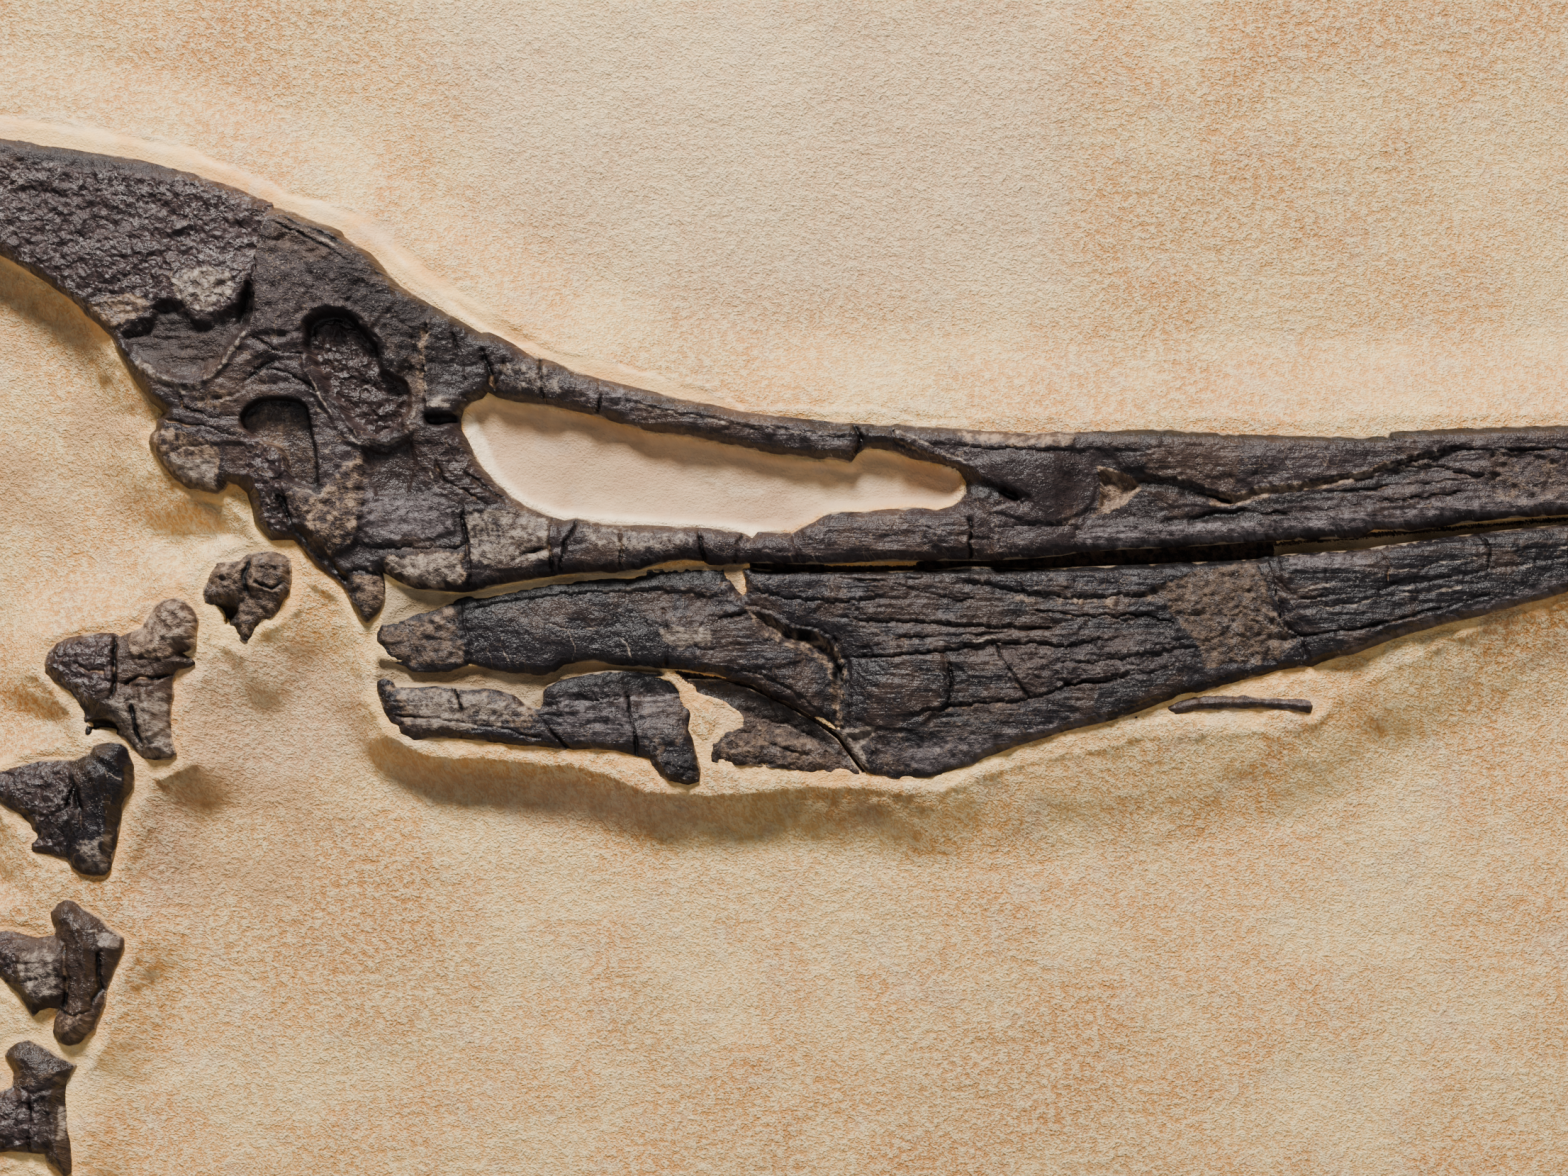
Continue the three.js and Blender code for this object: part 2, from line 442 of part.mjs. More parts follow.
const fossil = new THREE.Group();
fossil.add(named("matrix_slab", slab(beds), chalk));
for (const [name, solid] of Object.entries(solids))
  fossil.add(named(name, solid, name.includes("vertebra") ? boneBrown : boneDark));

export default fossil;
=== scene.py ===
import math

import bmesh
import bpy
import numpy as np
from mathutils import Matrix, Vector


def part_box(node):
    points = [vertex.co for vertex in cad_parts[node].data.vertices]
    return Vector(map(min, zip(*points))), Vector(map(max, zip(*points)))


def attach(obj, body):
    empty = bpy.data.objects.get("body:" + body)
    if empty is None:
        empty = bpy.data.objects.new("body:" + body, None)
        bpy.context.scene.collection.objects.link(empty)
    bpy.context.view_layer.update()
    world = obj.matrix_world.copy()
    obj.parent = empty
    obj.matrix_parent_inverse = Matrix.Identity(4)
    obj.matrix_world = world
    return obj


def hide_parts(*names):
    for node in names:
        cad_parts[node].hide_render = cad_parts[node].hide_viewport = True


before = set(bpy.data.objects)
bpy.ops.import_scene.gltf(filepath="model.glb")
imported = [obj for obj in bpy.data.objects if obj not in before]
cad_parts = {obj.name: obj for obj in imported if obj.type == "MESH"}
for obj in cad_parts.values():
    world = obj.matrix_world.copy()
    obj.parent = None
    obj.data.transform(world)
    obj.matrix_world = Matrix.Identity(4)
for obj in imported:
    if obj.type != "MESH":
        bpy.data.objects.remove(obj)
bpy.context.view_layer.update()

# Places on the fossil are given in pixels of the 2212 x 1659 photograph, and heights in millimetres.
pixel = 0.33e-3
centreColumn = 1175
centreRow = 990
millimetre = 1e-3

bankTop = 55.6
bedFloor = 44.4
nodeHeadroom = 0.15


def toPixels(x, y):
    return x / pixel + centreColumn, centreRow - y / pixel


def toMetres(u, v):
    return (u - centreColumn) * pixel, (centreRow - v) * pixel


# Smooth steps, distances and noise on arrays


def ramp(low, high, value):
    share = np.clip((value - low) / (high - low), 0, 1)
    return share * share * (3 - 2 * share)


def lattice(column, row, seed):
    mixed = column * 374761393 + row * 668265263 + seed * 974711
    mixed = (mixed ^ (mixed >> 13)) * 1274126177
    return ((mixed ^ (mixed >> 16)) & 65535) / 65535


def waves(u, v, size, seed, stretch=1.0):
    # Smooth random heights from -1 to 1, with lumps of the given size in pixels
    a = u / (size * stretch)
    b = v / size
    column = np.floor(a).astype(np.int64)
    row = np.floor(b).astype(np.int64)
    a = a - column
    b = b - row
    a = a * a * (3 - 2 * a)
    b = b * b * (3 - 2 * b)
    top = lattice(column, row, seed) * (1 - a) + lattice(column + 1, row, seed) * a
    low = lattice(column, row + 1, seed) * (1 - a) + lattice(column + 1, row + 1, seed) * a
    return 2 * (top * (1 - b) + low * b) - 1


def roughness(u, v, size, seed, layers=3, stretch=1.0):
    total = 0
    for layer in range(layers):
        total = total + waves(u, v, size / 2**layer, seed + 17 * layer, stretch) / 1.7**layer
    return total / 1.7


def clouds(u, v, size, seed, layers=3):
    # Soft random values round a half, for the shaders
    return 0.5 + 0.36 * roughness(u + 0.3 * size * waves(u, v, size, seed + 3), v, size, seed, layers)


def cells(u, v, size, seed, stretch=1.0):
    # Distance to the nearest cell centre and to the next cell's border, in cell sizes, and a value per cell
    a = u / (size * stretch)
    b = v / size
    column = np.floor(a).astype(np.int64)
    row = np.floor(b).astype(np.int64)
    first = np.full(a.shape, 9.0)
    second = np.full(a.shape, 9.0)
    value = np.zeros(a.shape)
    for i in (-1, 0, 1):
        for j in (-1, 0, 1):
            x = column + i + 0.1 + 0.8 * lattice(column + i, row + j, seed) - a
            y = row + j + 0.1 + 0.8 * lattice(column + i, row + j, seed + 5) - b
            distance = np.hypot(x, y)
            nearer = distance < first
            second = np.where(nearer, first, np.minimum(second, distance))
            value = np.where(nearer, lattice(column + i, row + j, seed + 9), value)
            first = np.where(nearer, distance, first)
    return first, second - first, value


def toLine(points, u, v, closed=False):
    # Distance to a line of points, and the side of it: positive to the right of the way it is drawn
    points = np.asarray(points, float)
    ends = np.roll(points, -1, axis=0)
    count = len(points) if closed else len(points) - 1
    nearest = np.full(u.shape, 1e9)
    side = np.zeros(u.shape)
    for i in range(count):
        x, y = points[i]
        along, up = ends[i] - points[i]
        share = np.clip(((u - x) * along + (v - y) * up) / max(along * along + up * up, 1e-9), 0, 1)
        distance = np.hypot(u - x - share * along, v - y - share * up)
        nearer = distance < nearest
        nearest = np.where(nearer, distance, nearest)
        side = np.where(nearer, np.sign(along * (v - y) - up * (u - x)), side)
    return nearest, side


def within(loops, u, v):
    inside = np.zeros(u.shape, bool)
    for loop in loops:
        loop = np.asarray(loop, float)
        ends = np.roll(loop, -1, axis=0)
        for (x, y), (nextX, nextY) in zip(loop, ends):
            if y == nextY:
                continue
            crosses = (y > v) != (nextY > v)
            inside ^= crosses & (u < x + (v - y) * (nextX - x) / (nextY - y))
    return inside


def inset(loops, u, v):
    # Distance inside the loops, negative outside
    nearest = np.full(u.shape, 1e9)
    for loop in loops:
        nearest = np.minimum(nearest, toLine(loop, u, v, closed=True)[0])
    return np.where(within(loops, u, v), nearest, -nearest)


def between(marks, u, v, reach):
    # Heights run smoothly from mark to mark
    total = np.zeros(u.shape)
    weights = np.zeros(u.shape)
    for column, row, height in marks:
        weight = 1 / ((u - column) ** 2 + (v - row) ** 2 + reach**2) ** 2
        total += weight * height
        weights += weight
    return total / weights


# Marks on a surface: each is a kind, an amount, a width in pixels and its points.
# Kinds that shape it, with the amount in millimetres:
#   ridge, groove, crack and scar follow a line, and a ledge drops on the right of its line
#   pit and plate fill an outline
# All other kinds are looks, filled in over an outline by an amount from 0 to 1.
# Of the looks, shade is painted shade, and dark is mostly painted shadow in holes, gaps and under edges
lookNames = (
    "pale", "tan", "rust", "grey", "dark", "shade", "crack", "rough", "hammered", "striated", "smooth",
    "edge",
)
# Soft random looks for the shaders: size in pixels, seed and layers
softLooks = {
    "broad": (110, 71, 3), "middle": (66, 72, 3), "blotch": (30, 73, 3), "small": (18, 74, 2),
    "large": (260, 75, 3),
}


def shapeMarks(marks, u, v, height, looks):
    wanderU = 5 * roughness(u, v, 26, 3) + 1.6 * waves(u, v, 7, 11)
    wanderV = 6 * roughness(u, v, 26, 31) + 1.6 * waves(u, v, 7, 12)
    trackU = u + 2.6 * waves(u, v, 15, 41) + 1.1 * waves(u, v, 5, 46)
    trackV = v + 2.6 * waves(u, v, 15, 42) + 1.1 * waves(u, v, 5, 47)
    comes = 0.3 + 0.7 * ramp(-0.45, 0.25, waves(u, v, 34, 48))
    for kind, amount, width, points in marks:
        reach = 6 * width + 12 if kind == "ledge" else 3 * width + 12
        line = np.asarray(points, float)
        low = line.min(axis=0) - reach
        high = line.max(axis=0) + reach
        near = np.flatnonzero((u > low[0]) & (u < high[0]) & (v > low[1]) & (v < high[1]))
        if near.size == 0:
            continue
        if kind in ("ridge", "groove", "crack", "scar", "ledge"):
            distance, side = toLine(line, trackU[near], trackV[near])
            ends = np.minimum(np.hypot(u[near] - line[0, 0], v[near] - line[0, 1]),
                              np.hypot(u[near] - line[-1, 0], v[near] - line[-1, 1]))
            taper = ramp(0, 3 * width, ends + width)
            core = np.exp(-((distance / width) ** 2)) * taper
            if kind == "ridge":
                height[near] += amount * core
            elif kind == "ledge":
                drop = np.where(side > 0, np.exp(-distance / (3.5 * width)), 0)
                height[near] -= 1.35 * amount * drop * ramp(0, 10, ends)
                looks["pale"][near] = np.maximum(looks["pale"][near], 0.55 * np.where(side > 0, 0, core))
            else:
                height[near] -= amount * core * comes[near]
                name = "pale" if kind == "scar" else "crack"
                line = np.exp(-((distance / (0.8 * width)) ** 2)) * taper * comes[near]
                looks[name][near] = np.maximum(looks[name][near], line)
        else:
            share = min(1, (width / 15) ** 2)
            depth = inset([line], u[near] + share * wanderU[near], v[near] + share * wanderV[near])
            fill = ramp(-0.5 * width, 0.5 * width, depth)
            if kind == "pit":
                height[near] -= amount * ramp(0, width, depth)
            elif kind == "plate":
                height[near] += amount * fill
            else:
                looks[kind][near] = np.maximum(looks[kind][near], amount * fill)


def loopsOf(name):
    # The outline loops of a node's flat underside, in pixels
    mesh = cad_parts[name].data
    places = np.array([vertex.co[:] for vertex in mesh.vertices])
    lowest = places[:, 2].min()
    firstAt = {}
    same = [firstAt.setdefault(tuple(np.round(place, 6)), i) for i, place in enumerate(places)]
    turns = set()
    for face in mesh.polygons:
        corners = [same[i] for i in face.vertices]
        if max(places[corners, 2]) > lowest + 1e-5:
            continue
        turns.update(zip(corners, corners[1:] + corners[:1]))
    follow = {a: b for (a, b) in turns if (b, a) not in turns}
    loops = []
    while follow:
        start, here = follow.popitem()
        loop = [start]
        while here != start:
            loop.append(here)
            here = follow.pop(here)
        loops.append(np.column_stack(toPixels(places[loop, 0], places[loop, 1])))
    return loops


def gridLines(low, high, fine, coarse, fineLow, fineHigh):
    # Lines close together where the photograph looks, and wider beyond it
    lines = [low]
    while lines[-1] < high:
        last = lines[-1]
        lines.append(last + (fine if fineLow - 2 * coarse < last < fineHigh else coarse))
    return np.array(lines)


def flatSheet(columns, rows):
    sheet = bmesh.new()
    bmesh.ops.create_grid(sheet, x_segments=len(columns) - 1, y_segments=len(rows) - 1, size=1)
    for vertex in sheet.verts:
        vertex.co.x = np.interp(vertex.co.x, np.linspace(-1, 1, len(columns)), columns)
        vertex.co.y = np.interp(vertex.co.y, np.linspace(-1, 1, len(rows)), rows)
    return sheet


def trimTo(sheet, loops):
    # Keep the cells inside the loops and pull the border out onto them
    places = np.array([vertex.co[:2] for vertex in sheet.verts])
    inside = within(loops, places[:, 0], places[:, 1])
    outside = [vertex for vertex, keep in zip(sheet.verts, inside) if not keep]
    while outside:
        bmesh.ops.delete(sheet, geom=outside, context="VERTS")
        outside = [vertex for vertex in sheet.verts
                   if sum(edge.is_boundary for edge in vertex.link_edges) != 2 and not vertex.link_faces
                   or sum(edge.is_boundary for edge in vertex.link_edges) > 2]
    for vertex in sheet.verts:
        if not vertex.is_boundary:
            continue
        best = None
        for loop in loops:
            ends = np.roll(loop, -1, axis=0)
            along = ends - loop
            away = np.array(vertex.co[:2]) - loop
            share = np.clip((away * along).sum(axis=1) / np.maximum((along**2).sum(axis=1), 1e-9), 0, 1)
            feet = loop + along * share[:, None]
            distance = np.hypot(*(feet - np.array(vertex.co[:2])).T)
            i = distance.argmin()
            if best is None or distance[i] < best[0]:
                best = (distance[i], feet[i])
        vertex.co.x, vertex.co.y = best[1]


def closeBelow(sheet):
    border = [edge for edge in sheet.edges if edge.is_boundary]
    walls = bmesh.ops.extrude_edge_only(sheet, edges=border)["geom"]
    for part in walls:
        if isinstance(part, bmesh.types.BMVert):
            part.co.z = -1
    lowEdges = [part for part in walls if isinstance(part, bmesh.types.BMEdge)]
    bmesh.ops.triangle_fill(sheet, use_beauty=False, edges=lowEdges)


def finishPiece(sheet, name, node, floor, heightAt, material):
    # Give the sheet its relief and its looks, and make it the piece that stands for a node
    mesh = bpy.data.meshes.new(name)
    sheet.to_mesh(mesh)
    sheet.free()
    places = np.empty(len(mesh.vertices) * 3, np.float64)
    mesh.vertices.foreach_get("co", places)
    places = places.reshape(-1, 3)
    u = places[:, 0].copy()
    v = places[:, 1].copy()
    upper = places[:, 2] > -0.5
    looks = {look: np.zeros(u.shape) for look in lookNames}
    height = heightAt(u, v, looks)
    for look, (size, seed, layers) in softLooks.items():
        looks[look] = clouds(u, v, size, seed, layers)
    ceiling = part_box(node)[1][2] / millimetre - nodeHeadroom
    height = np.minimum(height, ceiling)
    places[:, 0], places[:, 1] = toMetres(u, v)
    places[:, 2] = np.where(upper, np.maximum(height, floor + 0.5), floor) * millimetre
    mesh.vertices.foreach_set("co", places.ravel())
    for look, values in looks.items():
        mesh.attributes.new(look, "FLOAT", "POINT").data.foreach_set("value", np.clip(values, 0, 1))
    whole = bmesh.new()
    whole.from_mesh(mesh)
    bmesh.ops.recalc_face_normals(whole, faces=whole.faces)
    whole.to_mesh(mesh)
    whole.free()
    mesh.materials.append(material)
    mesh.shade_smooth()
    piece = bpy.data.objects.new(name, mesh)
    bpy.context.scene.collection.objects.link(piece)
    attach(piece, "root")
    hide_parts(node)
    print("made", name, len(mesh.polygons), "faces")


# Shader networks


def tone(red, green, blue):
    # A colour as it is seen on a screen, from 0 to 255, turned into what the shader takes
    parts = [part / 255 for part in (red, green, blue)]
    return (*(part / 12.92 if part < 0.0405 else ((part + 0.055) / 1.055) ** 2.4 for part in parts), 1)


class Signal:
    # A socket that can be reckoned with like a number
    def __init__(self, tree, socket):
        self.tree = tree
        self.socket = socket

    def reckon(self, operation, first, second):
        step = self.tree.nodes.new("ShaderNodeMath")
        step.operation = operation
        for slotIndex, value in enumerate((first, second)):
            if isinstance(value, Signal):
                self.tree.links.new(value.socket, step.inputs[slotIndex])
            else:
                step.inputs[slotIndex].default_value = value
        return Signal(self.tree, step.outputs[0])

    def __add__(self, other):
        return self.reckon("ADD", self, other)

    def __radd__(self, other):
        return self.reckon("ADD", other, self)

    def __sub__(self, other):
        return self.reckon("SUBTRACT", self, other)

    def __rsub__(self, other):
        return self.reckon("SUBTRACT", other, self)

    def __mul__(self, other):
        return self.reckon("MULTIPLY", self, other)

    def __rmul__(self, other):
        return self.reckon("MULTIPLY", other, self)

    def above(self, low, high):
        # 0 under the low value, 1 over the high one
        step = self.tree.nodes.new("ShaderNodeMapRange")
        step.interpolation_type = "SMOOTHSTEP"
        self.tree.links.new(self.socket, step.inputs["Value"])
        step.inputs["From Min"].default_value = low
        step.inputs["From Max"].default_value = high
        return Signal(self.tree, step.outputs["Result"])


# The flat textures are laid on slightly from the side, so that upright walls get them too
lean = (0.36, 0.36, 0)


class Network:
    def __init__(self, name):
        self.material = bpy.data.materials.new(name)
        self.material.use_nodes = True
        self.tree = self.material.node_tree
        self.shader = self.tree.nodes["Principled BSDF"]
        straight = self.node("ShaderNodeTexCoord", {}, {}, "Object")
        self.place = self.node("ShaderNodeMapping", {}, {"Vector": straight, "Rotation": lean})

    def node(self, kind, settings, values, output=0):
        made = self.tree.nodes.new(kind)
        for name, value in settings.items():
            setattr(made, name, value)
        for name, value in values.items():
            if isinstance(value, Signal):
                self.tree.links.new(value.socket, made.inputs[name])
            else:
                made.inputs[name].default_value = value
        return Signal(self.tree, made.outputs[output])

    def look(self, name):
        return self.node("ShaderNodeAttribute", {"attribute_name": name}, {}, "Fac")

    def noise(self, scale, detail=4, rough=0.55, stretch=(1, 1, 1), shift=0.0):
        spread = self.node("ShaderNodeMapping", {},
                           {"Vector": self.place, "Scale": stretch, "Location": (shift, shift, 0)})
        return self.node("ShaderNodeTexNoise", {"noise_dimensions": "2D"},
                         {"Vector": spread, "Scale": scale, "Detail": detail, "Roughness": rough})

    def voronoi(self, scale, feature="F1", output=0, stretch=(1, 1, 1), bend=0.0, bendScale=60):
        spread = self.node("ShaderNodeMapping", {}, {"Vector": self.place, "Scale": stretch})
        if bend:
            drift = self.node("ShaderNodeTexNoise", {"noise_dimensions": "2D"},
                              {"Vector": self.place, "Scale": bendScale, "Detail": 2}, 1)
            moved = self.node("ShaderNodeVectorMath", {"operation": "SCALE"},
                              {"Vector": drift, "Scale": bend})
            both = self.tree.nodes.new("ShaderNodeVectorMath")
            self.tree.links.new(spread.socket, both.inputs[0])
            self.tree.links.new(moved.socket, both.inputs[1])
            spread = Signal(self.tree, both.outputs[0])
        return self.node("ShaderNodeTexVoronoi", {"feature": feature, "voronoi_dimensions": "2D"},
                         {"Vector": spread, "Scale": scale}, output)

    def mix(self, first, second, factor):
        blend = self.tree.nodes.new("ShaderNodeMix")
        blend.data_type = "RGBA"
        for name, value in (("Factor_Float", factor), ("A_Color", first), ("B_Color", second)):
            socket = next(part for part in blend.inputs if part.identifier == name)
            if isinstance(value, Signal):
                self.tree.links.new(value.socket, socket)
            else:
                socket.default_value = value
        result = next(part for part in blend.outputs if part.identifier == "Result_Color")
        return Signal(self.tree, result)

    def finish(self, colour, rough, height, distance, strength, shine):
        self.shader.inputs["Specular IOR Level"].default_value = shine
        bump = self.node("ShaderNodeBump", {}, {"Height": height, "Distance": distance, "Strength": strength})
        self.tree.links.new(colour.socket, self.shader.inputs["Base Color"])
        self.tree.links.new(rough.socket, self.shader.inputs["Roughness"])
        self.tree.links.new(bump.socket, self.shader.inputs["Normal"])
        return self.material


# Bone: two ground tones and a lighter one, and how far all of it is darkened
def boneMaterial(name, ground, shade, light, dull):
    net = Network(name)
    broad = net.look("broad")
    middle = net.look("middle")
    blotches = net.look("blotch")
    small = net.look("small")
    fine = net.noise(230, 4, 0.7)
    specks = net.noise(1000, 1, 0.8)
    streaks = net.noise(170, 3, 0.7, (0.1, 1, 1))
    bend = net.noise(150, 3, 0.6, shift=14) - 0.5
    wisps = (1 - (bend * bend).above(0.0002, 0.0022)) * small.above(0.47, 0.6)
    crackle = net.voronoi(75, "DISTANCE_TO_EDGE", stretch=(0.7, 1, 1), bend=0.02, bendScale=90)
    finer = net.voronoi(190, "DISTANCE_TO_EDGE", stretch=(0.5, 1, 1), bend=0.008, bendScale=160)
    zone = broad.above(0.5, 0.62)
    veins = (1 - crackle.above(0.006, 0.022)) * zone
    hairs = (1 - finer.above(0.01, 0.06)) * middle.above(0.46, 0.6)
    dents = net.voronoi(190, bend=0.01, bendScale=150)
    dust = (1 - net.voronoi(330).above(0.07, 0.13)) * small.above(0.56, 0.66)
    striated = net.look("striated")
    hammered = net.look("hammered")
    roughLook = net.look("rough")
    rust = net.look("rust")
    crack = net.look("crack")

    colour = net.mix(ground, shade, broad.above(0.35, 0.65))
    colour = net.mix(colour, light, fine.above(0.5, 0.75) * 0.25)
    colour = net.mix(colour, tone(88, 72, 65), streaks.above(0.52, 0.72) * (0.15 + 0.5 * striated))
    colour = net.mix(colour, tone(22, 15, 14), (1 - streaks.above(0.3, 0.45)) * (0.15 + 0.6 * striated))
    colour = net.mix(colour, tone(76, 55, 43), middle.above(0.54, 0.68) * 0.55)
    beaten = net.mix(tone(74, 57, 56), tone(46, 33, 33), dents.above(0.15, 0.65))
    beaten = net.mix(beaten, tone(92, 77, 76), blotches.above(0.55, 0.8) * 0.4)
    colour = net.mix(colour, beaten, hammered * 0.85)
    for look, first, second in (
        ("grey", tone(110, 99, 99), tone(74, 63, 64)),
        ("rust", tone(116, 92, 72), tone(70, 54, 44)),
        ("tan", tone(166, 136, 108), tone(100, 78, 64)),
        ("pale", tone(164, 146, 128), tone(112, 96, 86)),
    ):
        cover = (1.3 * net.look(look) - 0.5 + 1.7 * (fine - 0.5) + 0.8 * (blotches - 0.5)).above(0, 0.6)
        colour = net.mix(colour, net.mix(second, first, fine.above(0.4, 0.64)), cover * 0.85)
    flecks = specks.above(0.6, 0.68) * (0.08 + 0.7 * roughLook) * fine.above(0.5, 0.64)
    colour = net.mix(colour, tone(180, 160, 138), flecks * 0.55)
    colour = net.mix(colour, tone(160, 150, 146), wisps * (0.06 + 0.4 * hammered + 0.3 * rust))
    colour = net.mix(colour, tone(140, 116, 94), veins * 0.4)
    colour = net.mix(colour, tone(112, 92, 78), hairs * 0.35)
    colour = net.mix(colour, tone(196, 184, 172), dust * 0.4)
    filling = net.mix(tone(15, 11, 10), tone(140, 110, 84), blotches.above(0.6, 0.74))
    colour = net.mix(colour, filling, crack.above(0.2, 0.7))
    # Painted shade: the shade look darkens shadowed hollows, fills and undersides, and the dark look paints
    # near-black shadow in holes, grooves, gaps and under overhanging edges, with a few patches of darker bone
    colour = net.mix(colour, tone(46, 33, 28), net.look("shade") * 0.7)
    colour = net.mix(colour, tone(12, 9, 8), net.look("dark") * 0.9)
    crust = (net.look("edge") * 0.8 + small - 0.5).above(0.66, 0.84)
    colour = net.mix(colour, tone(176, 150, 120), crust * 0.75)
    colour = net.mix(colour, tone(12, 9, 9), dull)

    rough = 0.32 + 0.3 * fine - 0.08 * hammered + 0.2 * roughLook
    rough = rough + 0.1 * net.look("tan") - 0.08 * net.look("smooth")
    height = 0.7 * fine + 0.25 * specks * (0.3 + roughLook) + 0.6 * streaks * (0.4 + striated)
    height = height + 0.7 * blotches + 0.25 * wisps + 1.1 * hammered * dents - 0.8 * crack
    return net.finish(colour, rough, height, 0.0022, 0.8, 0.4)


# Matrix: rough cream to orange chalk, smoother and paler close to the bones
def matrixMaterial():
    net = Network("matrix")
    broad = net.look("broad")
    patches = net.look("middle")
    lumps = net.noise(290, 4, 0.72, shift=3)
    grit = net.noise(1000, 1, 0.65)
    strength = net.look("large").above(0.3, 0.7)
    loose = 1 - net.look("smooth")
    raised = (lumps + 0.5 * (grit - 0.5)).above(0.38, 0.62)
    colour = net.mix(tone(255, 206, 128), tone(244, 178, 98), broad.above(0.42, 0.6))
    colour = net.mix(colour, tone(232, 158, 86), patches.above(0.45, 0.75) * (0.25 + 0.45 * loose))
    colour = net.mix(colour, tone(230, 200, 164), net.look("blotch").above(0.55, 0.72) * 0.5)
    colour = net.mix(colour, tone(232, 168, 104), net.look("large").above(0.52, 0.7) * 0.4)
    colour = net.mix(colour, tone(255, 234, 178), raised * (0.15 + 0.45 * loose))
    colour = net.mix(colour, tone(186, 118, 58), (1 - raised) * (0.08 + 0.4 * loose) * (0.4 + 0.6 * strength))
    colour = net.mix(colour, tone(196, 168, 146), net.look("grey") * 0.8)
    colour = net.mix(colour, tone(205, 160, 110), net.look("tan") * patches.above(0.35, 0.6) * 0.8)
    # Painted shadow from the shade look: below the crest, under the jaw, beside the neck, in the gaps and
    # over the nose filling
    shadow = net.mix(tone(118, 98, 76), tone(164, 142, 112), patches.above(0.4, 0.6))
    colour = net.mix(colour, shadow, net.look("shade") * 0.9)
    # Paler chalk from the pale look; along the lower lip of the nose filling it is a painted highlight
    colour = net.mix(colour, tone(254, 230, 190), net.look("pale") * 0.85)
    colour = net.mix(colour, tone(150, 108, 72), net.look("crack") * 0.8)
    # Painted shadow in the deep gaps between the bones, from the dark look
    paintedGapShadow = (net.look("dark") + 0.4 * (patches - 0.5) + 0.8 * (grit - 0.5)).above(0.35, 0.6)
    colour = net.mix(colour, net.mix(tone(28, 21, 19), tone(66, 50, 40), lumps.above(0.4, 0.6)), paintedGapShadow)
    rough = 0.8 + 0.15 * grit
    height = 1.5 * lumps * (0.15 + 0.5 * loose) * (0.6 + 0.4 * strength)
    height = height + 0.3 * grit * (0.4 + 0.6 * loose) + 0.6 * patches
    return net.finish(colour, rough, height, 0.0034, 1.0, 0.12)


darkBone = boneMaterial("darkBone", tone(33, 23, 23), tone(50, 37, 37), tone(87, 73, 73), 0.2)
plumBone = boneMaterial("plumBone", tone(18, 11, 15), tone(28, 19, 25), tone(56, 46, 51), 0.36)
brownBone = boneMaterial("brownBone", tone(42, 29, 23), tone(66, 48, 38), tone(100, 81, 68), 0.2)
matrix = matrixMaterial()

# Skull

